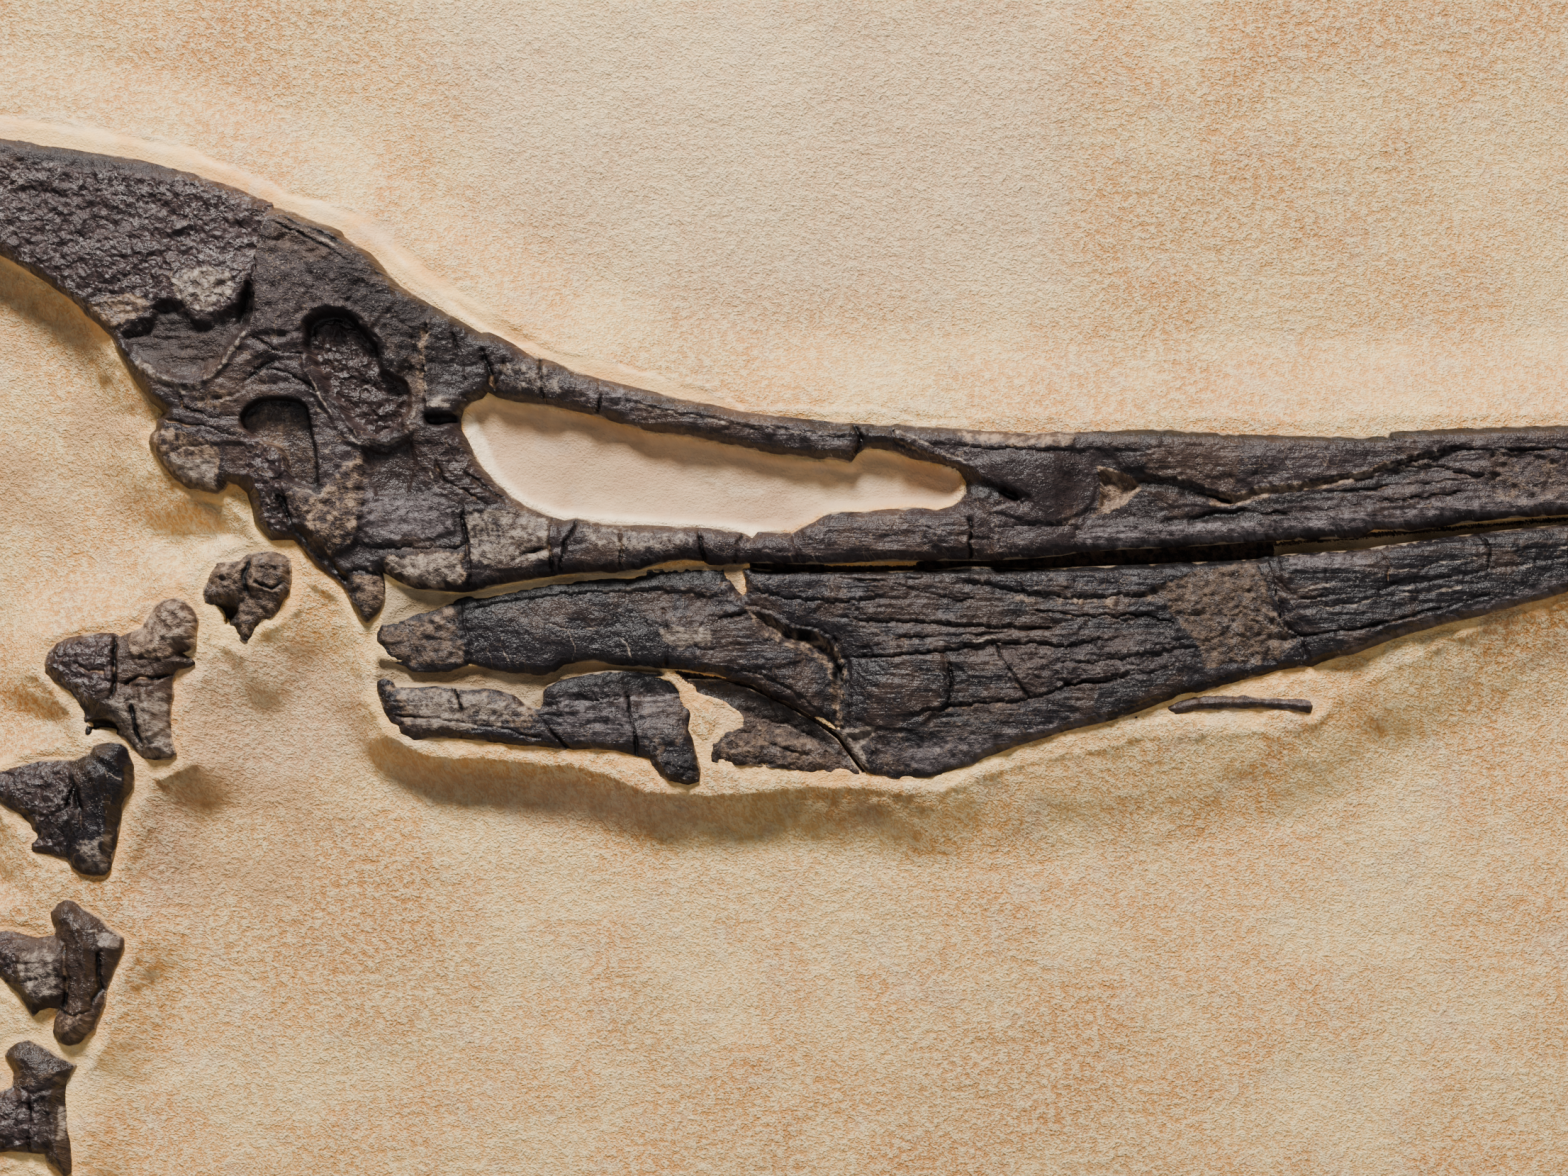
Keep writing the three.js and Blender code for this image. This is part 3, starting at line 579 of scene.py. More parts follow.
skull = {
    "fine": 2.45, "reach": 26, "edge": (9, 3.2), "seed": 3,
    "crowns": [
        (-800, 185, 3), (-460, 210, 4), (-140, 260, 5), (60, 300, 5), (200, 330, 6), (330, 330, 7),
        (420, 340, 10), (390, 420, 13), (470, 385, 13), (540, 420, 11), (600, 470, 9), (560, 490, 10),
        (640, 500, 6), (700, 520, 7), (790, 540, 8), (900, 575, 7), (1040, 600, 7), (1180, 620, 7),
        (1290, 625, 8), (1440, 660, 10), (1400, 720, 7), (1560, 690, 2), (1620, 640, 7), (1800, 650, 7),
        (1720, 740, 5), (1900, 720, 6), (2100, 640, 7), (2100, 700, 6), (2500, 640, 6), (2900, 622, 5),
        (3220, 604, 3), (150, 445, 5), (180, 515, 8), (230, 560, 12), (330, 545, 13), (400, 510, 13),
        (270, 600, 11), (270, 660, 7), (380, 680, 11), (380, 740, 6), (450, 790, 4), (520, 845, 6),
        (470, 640, 11), (460, 740, 10), (560, 660, 4), (640, 680, 7), (600, 760, 7), (700, 770, 7),
        (620, 810, 9), (850, 770, 8), (1000, 770, 7), (1200, 770, 6), (610, 590, 9), (480, 600, 10),
    ],
    "marks": [
        # crest and the seam where it meets the braincase
        ("hammered", 0.9, 14, [(-900, 150), (380, 262), (388, 296), (366, 336), (362, 400), (346, 400),
                               (330, 430), (300, 446), (262, 430), (229, 424), (150, 470), (-900, 250)]),
        ("shade", 0.5, 26, [(0, 340), (60, 372), (110, 415), (130, 440), (200, 440), (160, 410), (80, 366),
                            (0, 318)]),
        ("rough", 0.5, 30, [(-200, 150), (100, 190), (280, 240), (210, 330), (120, 380), (-200, 330)]),
        ("ledge", 3.5, 5, [(384, 288), (366, 332), (362, 372), (360, 430)]),
        ("plate", 1.2, 8, [(364, 330), (382, 300), (440, 310), (500, 345), (548, 388), (560, 430),
                           (520, 470), (490, 440), (440, 438), (420, 470), (364, 472)]),
        ("rough", 0.9, 16, [(362, 320), (440, 318), (520, 370), (560, 440), (500, 446), (440, 440),
                            (420, 478), (362, 470)]),
        ("grey", 0.25, 24, [(366, 340), (450, 330), (530, 400), (490, 430), (430, 440), (410, 460),
                            (366, 450)]),
        ("striated", 0.9, 12, [(384, 290), (476, 322), (530, 366), (580, 412), (560, 430), (490, 372),
                               (390, 318)]),
        ("crack", 0.9, 2.2, [(384, 316), (430, 332), (474, 356), (514, 387)]),
        ("groove", 0.7, 3, [(400, 308), (450, 326), (500, 356), (536, 392)]),
        ("scar", 0.5, 2.4, [(420, 322), (466, 342), (500, 366)]),
        ("pale", 0.75, 12, [(243, 396), (262, 380), (300, 379), (330, 388), (338, 404), (322, 430),
                            (300, 444), (270, 440), (250, 420)]),
        ("tan", 0.85, 12, [(125, 430), (150, 418), (200, 417), (217, 432), (196, 452), (160, 462),
                           (132, 448)]),
        ("plate", 0.9, 7, [(125, 430), (150, 418), (200, 417), (217, 432), (196, 452), (160, 462),
                           (132, 448)]),
        # temple hollow behind the eye
        ("pit", 5.5, 20, [(166, 462), (190, 454), (206, 447), (217, 433), (229, 423), (245, 421),
                          (261, 427), (277, 443), (297, 445), (316, 435), (336, 423), (348, 403),
                          (358, 391), (362, 427), (360, 450), (348, 474), (332, 494), (316, 518),
                          (297, 533), (277, 541), (257, 540), (237, 533), (221, 526), (198, 514),
                          (180, 503), (169, 487)]),
        ("pit", 5, 14, [(340, 414), (358, 392), (364, 420), (362, 446), (346, 466), (330, 462)]),
        ("dark", 0.9, 12, [(338, 424), (358, 390), (364, 440), (352, 462), (334, 458)]),
        ("shade", 0.8, 16, [(172, 470), (206, 450), (240, 430), (300, 452), (350, 440), (346, 480),
                            (300, 524), (250, 530), (200, 506)]),
        ("dark", 0.5, 14, [(215, 446), (240, 428), (262, 440), (300, 456), (330, 448), (318, 466),
                           (240, 466)]),
        ("striated", 0.6, 16, [(176, 470), (240, 440), (300, 456), (340, 460), (300, 524), (220, 514)]),
        ("pale", 0.7, 8, [(190, 516), (226, 540), (262, 558), (294, 548), (292, 538), (262, 545),
                          (232, 530), (200, 504)]),
        ("rust", 0.7, 12, [(280, 552), (316, 546), (332, 560), (320, 584), (284, 580)]),
        ("ridge", 1.6, 5, [(440, 500), (456, 530), (476, 566), (500, 612)]),
        ("ridge", 1.2, 5, [(340, 520), (372, 496), (400, 484), (430, 480)]),
        ("groove", 1.0, 5, [(352, 534), (384, 516), (424, 508)]),
        ("hammered", 0.9, 14, [(345, 604), (380, 626), (398, 652), (408, 690), (424, 756), (470, 806),
                               (496, 850), (470, 830), (424, 780), (384, 760), (352, 700)]),
        ("scar", 0.1, 2.6, [(462, 588), (486, 582), (506, 560), (520, 540)]),
        ("scar", 0.1, 2.6, [(462, 640), (476, 612), (462, 588), (446, 572)]),
        ("rough", 0.8, 16, [(176, 470), (240, 440), (300, 456), (340, 460), (300, 524), (220, 514)]),
        ("ridge", 2.2, 6, [(352, 466), (340, 482), (324, 502), (312, 522), (297, 535), (277, 543),
                           (253, 542), (233, 535), (217, 528), (196, 512)]),
        ("scar", 0.1, 3.4, [(352, 470), (340, 486), (324, 506), (312, 525), (297, 538), (277, 546),
                            (253, 545), (233, 538), (217, 531)]),
        # eye socket with its rough filling
        ("pit", 7, 12, [(429, 473), (431, 459), (439, 449), (453, 441), (472, 438), (492, 439), (504, 449),
                        (512, 459), (528, 475), (538, 487), (542, 503), (546, 520), (579, 538), (585, 558),
                        (585, 578), (570, 603), (555, 617), (532, 623), (516, 617), (496, 601), (480, 578),
                        (460, 562), (453, 542), (437, 510), (429, 495)]),
        ("ridge", 1.5, 4, [(424, 470), (430, 450), (452, 434), (494, 433), (516, 452), (544, 486),
                           (552, 518)]),
        ("ridge", 1.6, 5, [(424, 480), (436, 520), (452, 560), (476, 596), (494, 622), (530, 632)]),
        ("scar", 0.1, 2.2, [(440, 530), (462, 574), (486, 612), (520, 632)]),
        ("hammered", 1, 10, [(440, 470), (480, 446), (520, 480), (540, 530), (576, 550), (570, 600),
                             (536, 616), (500, 596), (464, 550), (444, 510)]),
        ("dark", 0.8, 8, [(430, 480), (434, 456), (456, 440), (498, 440), (514, 462), (540, 490),
                          (548, 524), (536, 512), (516, 478), (488, 456), (456, 458), (444, 480),
                          (440, 512)]),
        ("shade", 0.6, 14, [(440, 470), (480, 446), (520, 480), (540, 530), (576, 550), (570, 600),
                            (536, 616), (500, 596), (464, 550), (444, 510)]),
        ("scar", 0.1, 3, [(548, 520), (579, 540), (588, 566), (580, 596)]),
        ("pit", 3.5, 12, [(559, 512), (576, 506), (590, 518), (586, 538), (570, 542), (558, 530)]),
        ("dark", 0.6, 8, [(562, 514), (576, 508), (588, 520), (584, 536), (570, 540), (560, 528)]),
        # brow, strut and tear bone
        ("tan", 0.5, 14, [(590, 456), (606, 460), (604, 520), (600, 562), (586, 556), (588, 500)]),
        ("rough", 0.9, 14, [(560, 420), (612, 440), (614, 560), (584, 556), (548, 500), (536, 460)]),
        ("ledge", 2.4, 4, [(604, 452), (598, 500), (602, 560)]),
        ("crack", 1, 2.4, [(560, 452), (584, 470), (590, 500)]),
        ("plate", 1.2, 6, [(599, 560), (650, 562), (668, 566), (652, 582), (600, 582)]),
        ("pale", 0.6, 10, [(600, 558), (650, 562), (650, 576), (602, 576)]),
        ("pit", 5, 9, [(596, 584), (648, 582), (650, 600), (620, 608), (598, 602)]),
        ("dark", 0.8, 10, [(598, 584), (646, 582), (648, 600), (600, 602)]),
        ("groove", 2, 4, [(680, 500), (694, 530), (698, 548), (708, 530), (714, 508)]),
        ("crack", 0.6, 2, [(640, 470), (652, 500), (656, 540)]),
        # side of the head below the temple
        ("tan", 0.75, 18, [(209, 613), (240, 604), (290, 614), (316, 640), (312, 690), (270, 688),
                           (235, 664)]),
        ("pale", 1, 12, [(212, 624), (226, 640), (280, 652), (306, 646), (306, 690), (262, 682),
                         (228, 650)]),
        ("plate", 0.8, 8, [(212, 616), (262, 600), (310, 622), (318, 660), (304, 692), (250, 676),
                           (225, 650)]),
        ("crack", 1.1, 2.4, [(225, 590), (262, 600), (300, 604), (330, 616)]),
        ("crack", 0.9, 2.2, [(252, 548), (262, 574), (300, 590), (336, 588)]),
        ("ledge", 1.6, 3, [(400, 545), (360, 548), (330, 562), (300, 566)]),
        ("grey", 0.2, 14, [(352, 500), (420, 480), (440, 520), (452, 548), (420, 556), (370, 552),
                           (340, 530)]),
        ("crack", 0.8, 2, [(360, 476), (400, 500), (432, 500)]),
        ("crack", 0.8, 2, [(364, 520), (410, 528), (450, 552)]),
        ("pit", 8, 6, [(340, 595), (342, 585), (350, 574), (366, 564), (385, 560), (405, 560), (425, 564),
                       (437, 574), (441, 590), (445, 613), (451, 633), (453, 657), (455, 680), (453, 690),
                       (443, 694), (429, 688), (413, 682), (405, 665), (401, 645), (393, 633), (373, 625),
                       (354, 617), (342, 607)]),
        ("rust", 0.6, 12, [(344, 594), (366, 570), (430, 570), (440, 600), (452, 684), (420, 680),
                           (404, 646), (370, 622)]),
        ("dark", 0.95, 8, [(338, 598), (342, 582), (364, 560), (426, 560), (442, 586), (450, 640),
                           (456, 692), (440, 696), (446, 650), (434, 596), (418, 576), (380, 572),
                           (354, 590)]),
        ("shade", 0.8, 14, [(404, 600), (436, 600), (452, 690), (420, 684), (404, 640)]),
        ("smooth", 0.9, 10, [(344, 594), (366, 566), (420, 566), (440, 600), (452, 684), (420, 680),
                             (404, 646)]),
        ("scar", 0.1, 3, [(408, 684), (430, 694), (455, 700), (460, 688)]),
        ("tan", 0.6, 16, [(415, 700), (450, 700), (480, 660), (515, 640), (516, 700), (500, 760),
                          (470, 786), (440, 770), (424, 740)]),
        ("rough", 0.9, 16, [(405, 690), (460, 690), (515, 640), (520, 720), (500, 780), (460, 790),
                            (420, 750)]),
        ("plate", 1.6, 9, [(412, 694), (452, 698), (500, 650), (516, 700), (500, 770), (466, 782),
                           (430, 744)]),
        ("dark", 0.6, 12, [(384, 694), (404, 700), (430, 752), (500, 812), (536, 862), (520, 880),
                           (484, 812), (420, 766), (396, 740)]),
        ("groove", 1.6, 5, [(393, 694), (412, 742), (460, 790), (508, 836)]),
        ("striated", 0.9, 10, [(350, 690), (392, 700), (430, 770), (500, 850), (520, 878), (480, 820),
                               (360, 736)]),
        # joint lump
        ("rough", 1, 8, [(490, 812), (540, 812), (542, 850), (520, 878), (498, 850)]),
        ("tan", 0.75, 8, [(496, 812), (540, 812), (542, 850), (522, 876), (504, 850)]),
        ("ledge", 1.6, 3, [(486, 806), (512, 800), (540, 812)]),
        # cheek plates
        ("pit", 2.2, 9, [(510, 628), (545, 636), (585, 612), (592, 650), (580, 700), (530, 704),
                         (512, 672)]),
        ("shade", 0.75, 12, [(510, 624), (545, 632), (585, 612), (592, 650), (580, 700), (530, 704),
                             (512, 672)]),
        ("smooth", 1, 12, [(510, 624), (545, 632), (585, 612), (592, 650), (580, 700), (530, 704),
                           (512, 672)]),
        ("ridge", 1.6, 3.2, [(496, 601), (516, 620), (545, 625), (575, 612), (586, 604)]),
        ("scar", 0.1, 2.4, [(498, 605), (516, 623), (545, 628), (575, 615), (586, 607)]),
        ("grey", 0.8, 14, [(515, 640), (530, 704), (600, 700), (642, 712), (640, 752), (600, 762),
                           (540, 760), (512, 740)]),
        ("plate", 0.9, 6, [(510, 700), (600, 700), (644, 712), (640, 752), (590, 764), (530, 764),
                           (508, 742)]),
        ("ledge", 1.6, 3, [(510, 764), (560, 772), (640, 770), (660, 760)]),
        ("tan", 0.7, 12, [(540, 784), (600, 776), (655, 784), (660, 822), (620, 830), (570, 824),
                          (545, 806)]),
        ("pale", 1, 12, [(546, 788), (600, 780), (650, 788), (650, 820), (600, 826), (552, 806)]),
        ("rough", 1, 12, [(538, 780), (600, 772), (660, 782), (664, 828), (600, 832), (545, 808)]),
        ("pale", 0.7, 12, [(655, 720), (720, 714), (775, 734), (778, 790), (720, 800), (668, 796)]),
        ("plate", 0.9, 5, [(652, 716), (720, 712), (777, 732), (778, 796), (720, 804), (664, 800)]),
        ("crack", 1.6, 3, [(725, 795), (745, 780), (775, 775)]),
        ("crack", 1.2, 2.4, [(652, 716), (660, 760), (664, 830)]),
        ("shade", 0.6, 26, [(590, 600), (650, 612), (700, 690), (745, 722), (700, 712), (640, 704),
                            (600, 660)]),
        ("hammered", 0.5, 20, [(596, 620), (650, 620), (700, 700), (640, 706), (600, 680)]),
        ("striated", 1, 14, [(590, 600), (650, 606), (700, 690), (745, 724), (640, 704), (596, 660)]),
        ("groove", 0.8, 3, [(600, 620), (630, 680), (690, 712)]),
        ("groove", 0.7, 3, [(622, 612), (652, 664), (716, 712)]),
        ("scar", 0.3, 2, [(600, 640), (618, 690), (650, 708)]),
        # lower bar in broken blocks
        ("crack", 1.4, 2.6, [(778, 732), (775, 760), (780, 812)]),
        ("crack", 1.2, 2.4, [(815, 736), (800, 765), (790, 808)]),
        ("crack", 1.2, 2.4, [(874, 742), (878, 770), (872, 806)]),
        ("crack", 1.6, 3, [(985, 746), (990, 768), (996, 794)]),
        ("crack", 1.4, 2.6, [(1050, 754), (1040, 776), (1036, 798)]),
        ("crack", 1.6, 3, [(1118, 752), (1124, 772), (1130, 796)]),
        ("crack", 1.2, 2.4, [(1368, 716), (1370, 750), (1366, 792)]),
        ("scar", 0.8, 2.6, [(1520, 730), (1517, 760), (1519, 782)]),
        ("pale", 0.5, 16, [(820, 742), (900, 746), (980, 752), (975, 776), (900, 780), (830, 786)]),
        ("grey", 0.5, 16, [(880, 745), (980, 750), (985, 790), (930, 790), (884, 800)]),
        ("plate", 0.8, 5, [(878, 742), (985, 746), (990, 790), (930, 794), (876, 806)]),
        ("plate", 0.7, 5, [(1054, 756), (1118, 754), (1128, 794), (1042, 796)]),
        ("striated", 1, 12, [(1130, 736), (1368, 722), (1368, 790), (1132, 796)]),
        ("grey", 0.35, 16, [(1140, 745), (1360, 735), (1360, 770), (1140, 776)]),
        ("plate", -1.2, 5, [(1368, 758), (1398, 758), (1398, 788), (1368, 790)]),
        ("ledge", 1.4, 3, [(1395, 742), (1460, 738), (1518, 738)]),
        ("plate", 0.8, 5, [(1398, 742), (1518, 736), (1518, 784), (1398, 790)]),
        # upper bar
        ("pale", 0.55, 16, [(704, 514), (760, 516), (800, 530), (800, 556), (740, 556), (706, 544)]),
        ("grey", 0.6, 16, [(800, 534), (870, 546), (900, 560), (890, 586), (820, 572)]),
        ("crack", 1, 2.2, [(760, 506), (764, 536), (770, 568)]),
        ("crack", 1, 2.2, [(845, 534), (850, 560), (842, 584)]),
        ("ridge", 0.9, 4, [(860, 556), (940, 576), (1040, 594), (1180, 612), (1260, 616)]),
        ("scar", 0.2, 2, [(900, 572), (960, 586), (1030, 598)]),
        ("scar", 0.2, 2, [(1040, 596), (1120, 610), (1200, 616)]),
        ("grey", 0.5, 14, [(1040, 590), (1130, 596), (1200, 606), (1190, 630), (1100, 622), (1040, 610)]),
        ("striated", 0.8, 14, [(800, 520), (1260, 596), (1260, 640), (1000, 620), (800, 576)]),
        ("crack", 1.2, 2.4, [(1205, 600), (1212, 622), (1206, 644)]),
        # where the bars meet the beak
        ("ledge", 2.6, 4, [(1257, 600), (1266, 622), (1312, 644), (1360, 664)]),
        ("ridge", 1.2, 4, [(1262, 612), (1310, 636), (1362, 660)]),
        ("scar", 0.1, 2.6, [(1264, 606), (1312, 630), (1362, 654)]),
        ("groove", 4.5, 8, [(1350, 684), (1380, 684), (1410, 694), (1441, 706)]),
        ("dark", 0.85, 12, [(1345, 672), (1380, 678), (1441, 702), (1400, 704), (1360, 698)]),
        ("plate", 1.4, 6, [(1366, 656), (1445, 635), (1498, 641), (1527, 652), (1543, 670), (1547, 686),
                           (1541, 707), (1527, 723), (1498, 735), (1466, 740), (1400, 720), (1441, 703),
                           (1385, 676)]),
        ("smooth", 1, 12, [(1366, 656), (1445, 635), (1498, 641), (1547, 686), (1527, 723), (1466, 740)]),
        # painted shadow along the beak's top edge, under the edge of the matrix
        ("dark", 0.85, 4, [(1510, 610), (1560, 606), (1700, 609), (1960, 616), (1975, 609), (2212, 600),
                           (2900, 600), (2900, 607), (2212, 608), (1985, 616), (1960, 624), (1700, 616),
                           (1560, 614)]),
        ("tan", 0.65, 12, [(1340, 604), (1430, 612), (1520, 610), (1522, 626), (1440, 632), (1350, 622)]),
        ("ledge", 1.6, 3, [(1345, 626), (1440, 634), (1524, 632)]),
        ("pit", 5, 10, [(1548, 662), (1572, 664), (1600, 674), (1613, 686), (1604, 695), (1588, 711),
                        (1568, 719), (1546, 724), (1552, 700)]),
        ("tan", 1, 8, [(1546, 656), (1572, 662), (1600, 674), (1613, 686), (1604, 697), (1588, 713),
                       (1568, 723), (1540, 730), (1552, 700), (1552, 676)]),
        ("rough", 1, 8, [(1546, 656), (1600, 674), (1613, 686), (1588, 713), (1540, 730), (1552, 690)]),
        ("groove", 3.2, 5, [(1606, 680), (1660, 688), (1700, 700), (1740, 706)]),
        ("dark", 0.9, 7, [(1604, 676), (1660, 682), (1711, 697), (1711, 707), (1655, 696), (1606, 690)]),
        ("tan", 0.9, 8, [(1700, 694), (1750, 694), (1760, 712), (1706, 716)]),
        ("ledge", 3, 4.5, [(1620, 668), (1700, 686), (1742, 700), (1768, 691), (1804, 686), (1844, 680),
                           (1877, 673), (1903, 671), (1932, 667), (1950, 658), (1976, 648), (2005, 642),
                           (2041, 633)]),
        ("scar", 0.1, 3, [(1742, 704), (1768, 695), (1804, 690), (1844, 684), (1877, 677), (1932, 671),
                          (1950, 662), (1976, 652), (2005, 646), (2041, 637)]),
        ("ledge", 2, 4, [(1961, 666), (1983, 658), (2012, 656), (2041, 658), (2078, 668), (2096, 669)]),
        ("scar", 0.1, 2.4, [(1961, 670), (1983, 662), (2012, 660), (2041, 662), (2078, 672)]),
        ("groove", 2.2, 5, [(1640, 740), (1713, 727), (1778, 722)]),
        ("dark", 0.7, 7, [(1640, 742), (1713, 724), (1784, 718), (1780, 726), (1713, 734)]),
        ("plate", 1.1, 6, [(1520, 738), (1600, 734), (1640, 744), (1760, 734), (1990, 704), (2060, 697),
                           (2220, 690), (2220, 740), (2000, 760), (1760, 780), (1520, 790)]),
        ("grey", 0.8, 14, [(1520, 744), (1760, 736), (2220, 692), (2220, 716), (1760, 764), (1520, 772)]),
        ("striated", 0.7, 14, [(1520, 738), (1760, 734), (2220, 690), (2220, 740), (1760, 780),
                               (1520, 790)]),
        ("crack", 1.2, 2.2, [(1775, 728), (1850, 722), (1920, 713), (1990, 704), (2060, 697)]),
        ("crack", 1, 2.2, [(1830, 700), (1900, 694), (1990, 684), (2080, 676)]),
        ("pit", 1.6, 9, [(2096, 640), (2150, 634), (2205, 650), (2200, 700), (2150, 716), (2104, 700)]),
        ("rough", 1, 16, [(2090, 636), (2150, 630), (2205, 650), (2200, 704), (2150, 720), (2100, 704)]),
        ("rust", 0.4, 16, [(2090, 636), (2150, 630), (2205, 650), (2200, 704), (2150, 720), (2100, 704)]),
        ("crack", 1.1, 2.4, [(2050, 635), (2110, 636), (2160, 634), (2212, 636)]),
        # painted shadow and painted shade along the beak's top edge
        ("dark", 0.95, 5, [(1550, 606), (1604, 601), (1800, 609), (1958, 612), (1962, 604), (2212, 596),
                           (2212, 606), (1970, 616), (1940, 624), (1800, 620), (1600, 617), (1550, 615)]),
        ("shade", 0.5, 12, [(1500, 610), (1690, 612), (1960, 620), (2212, 604), (2212, 622), (1960, 636),
                            (1700, 632), (1500, 628)]),
        ("tan", 0.95, 5, [(1738, 700), (1770, 688), (1870, 676), (1930, 662), (1950, 650), (1960, 656),
                          (1936, 672), (1880, 688), (1800, 697), (1750, 714)]),
        ("dark", 0.8, 6, [(1750, 716), (1800, 700), (1880, 692), (1940, 676), (2000, 656), (2004, 668),
                          (1940, 690), (1860, 704), (1780, 718)]),
        ("striated", 0.8, 16, [(1600, 612), (2212, 606), (2212, 690), (1760, 690), (1600, 670)]),
        ("striated", 0.8, 16, [(2212, 590), (3270, 590), (3270, 620), (2212, 740)]),
    ],
}

# Lower jaw: the near branch and the front where both sides are joined

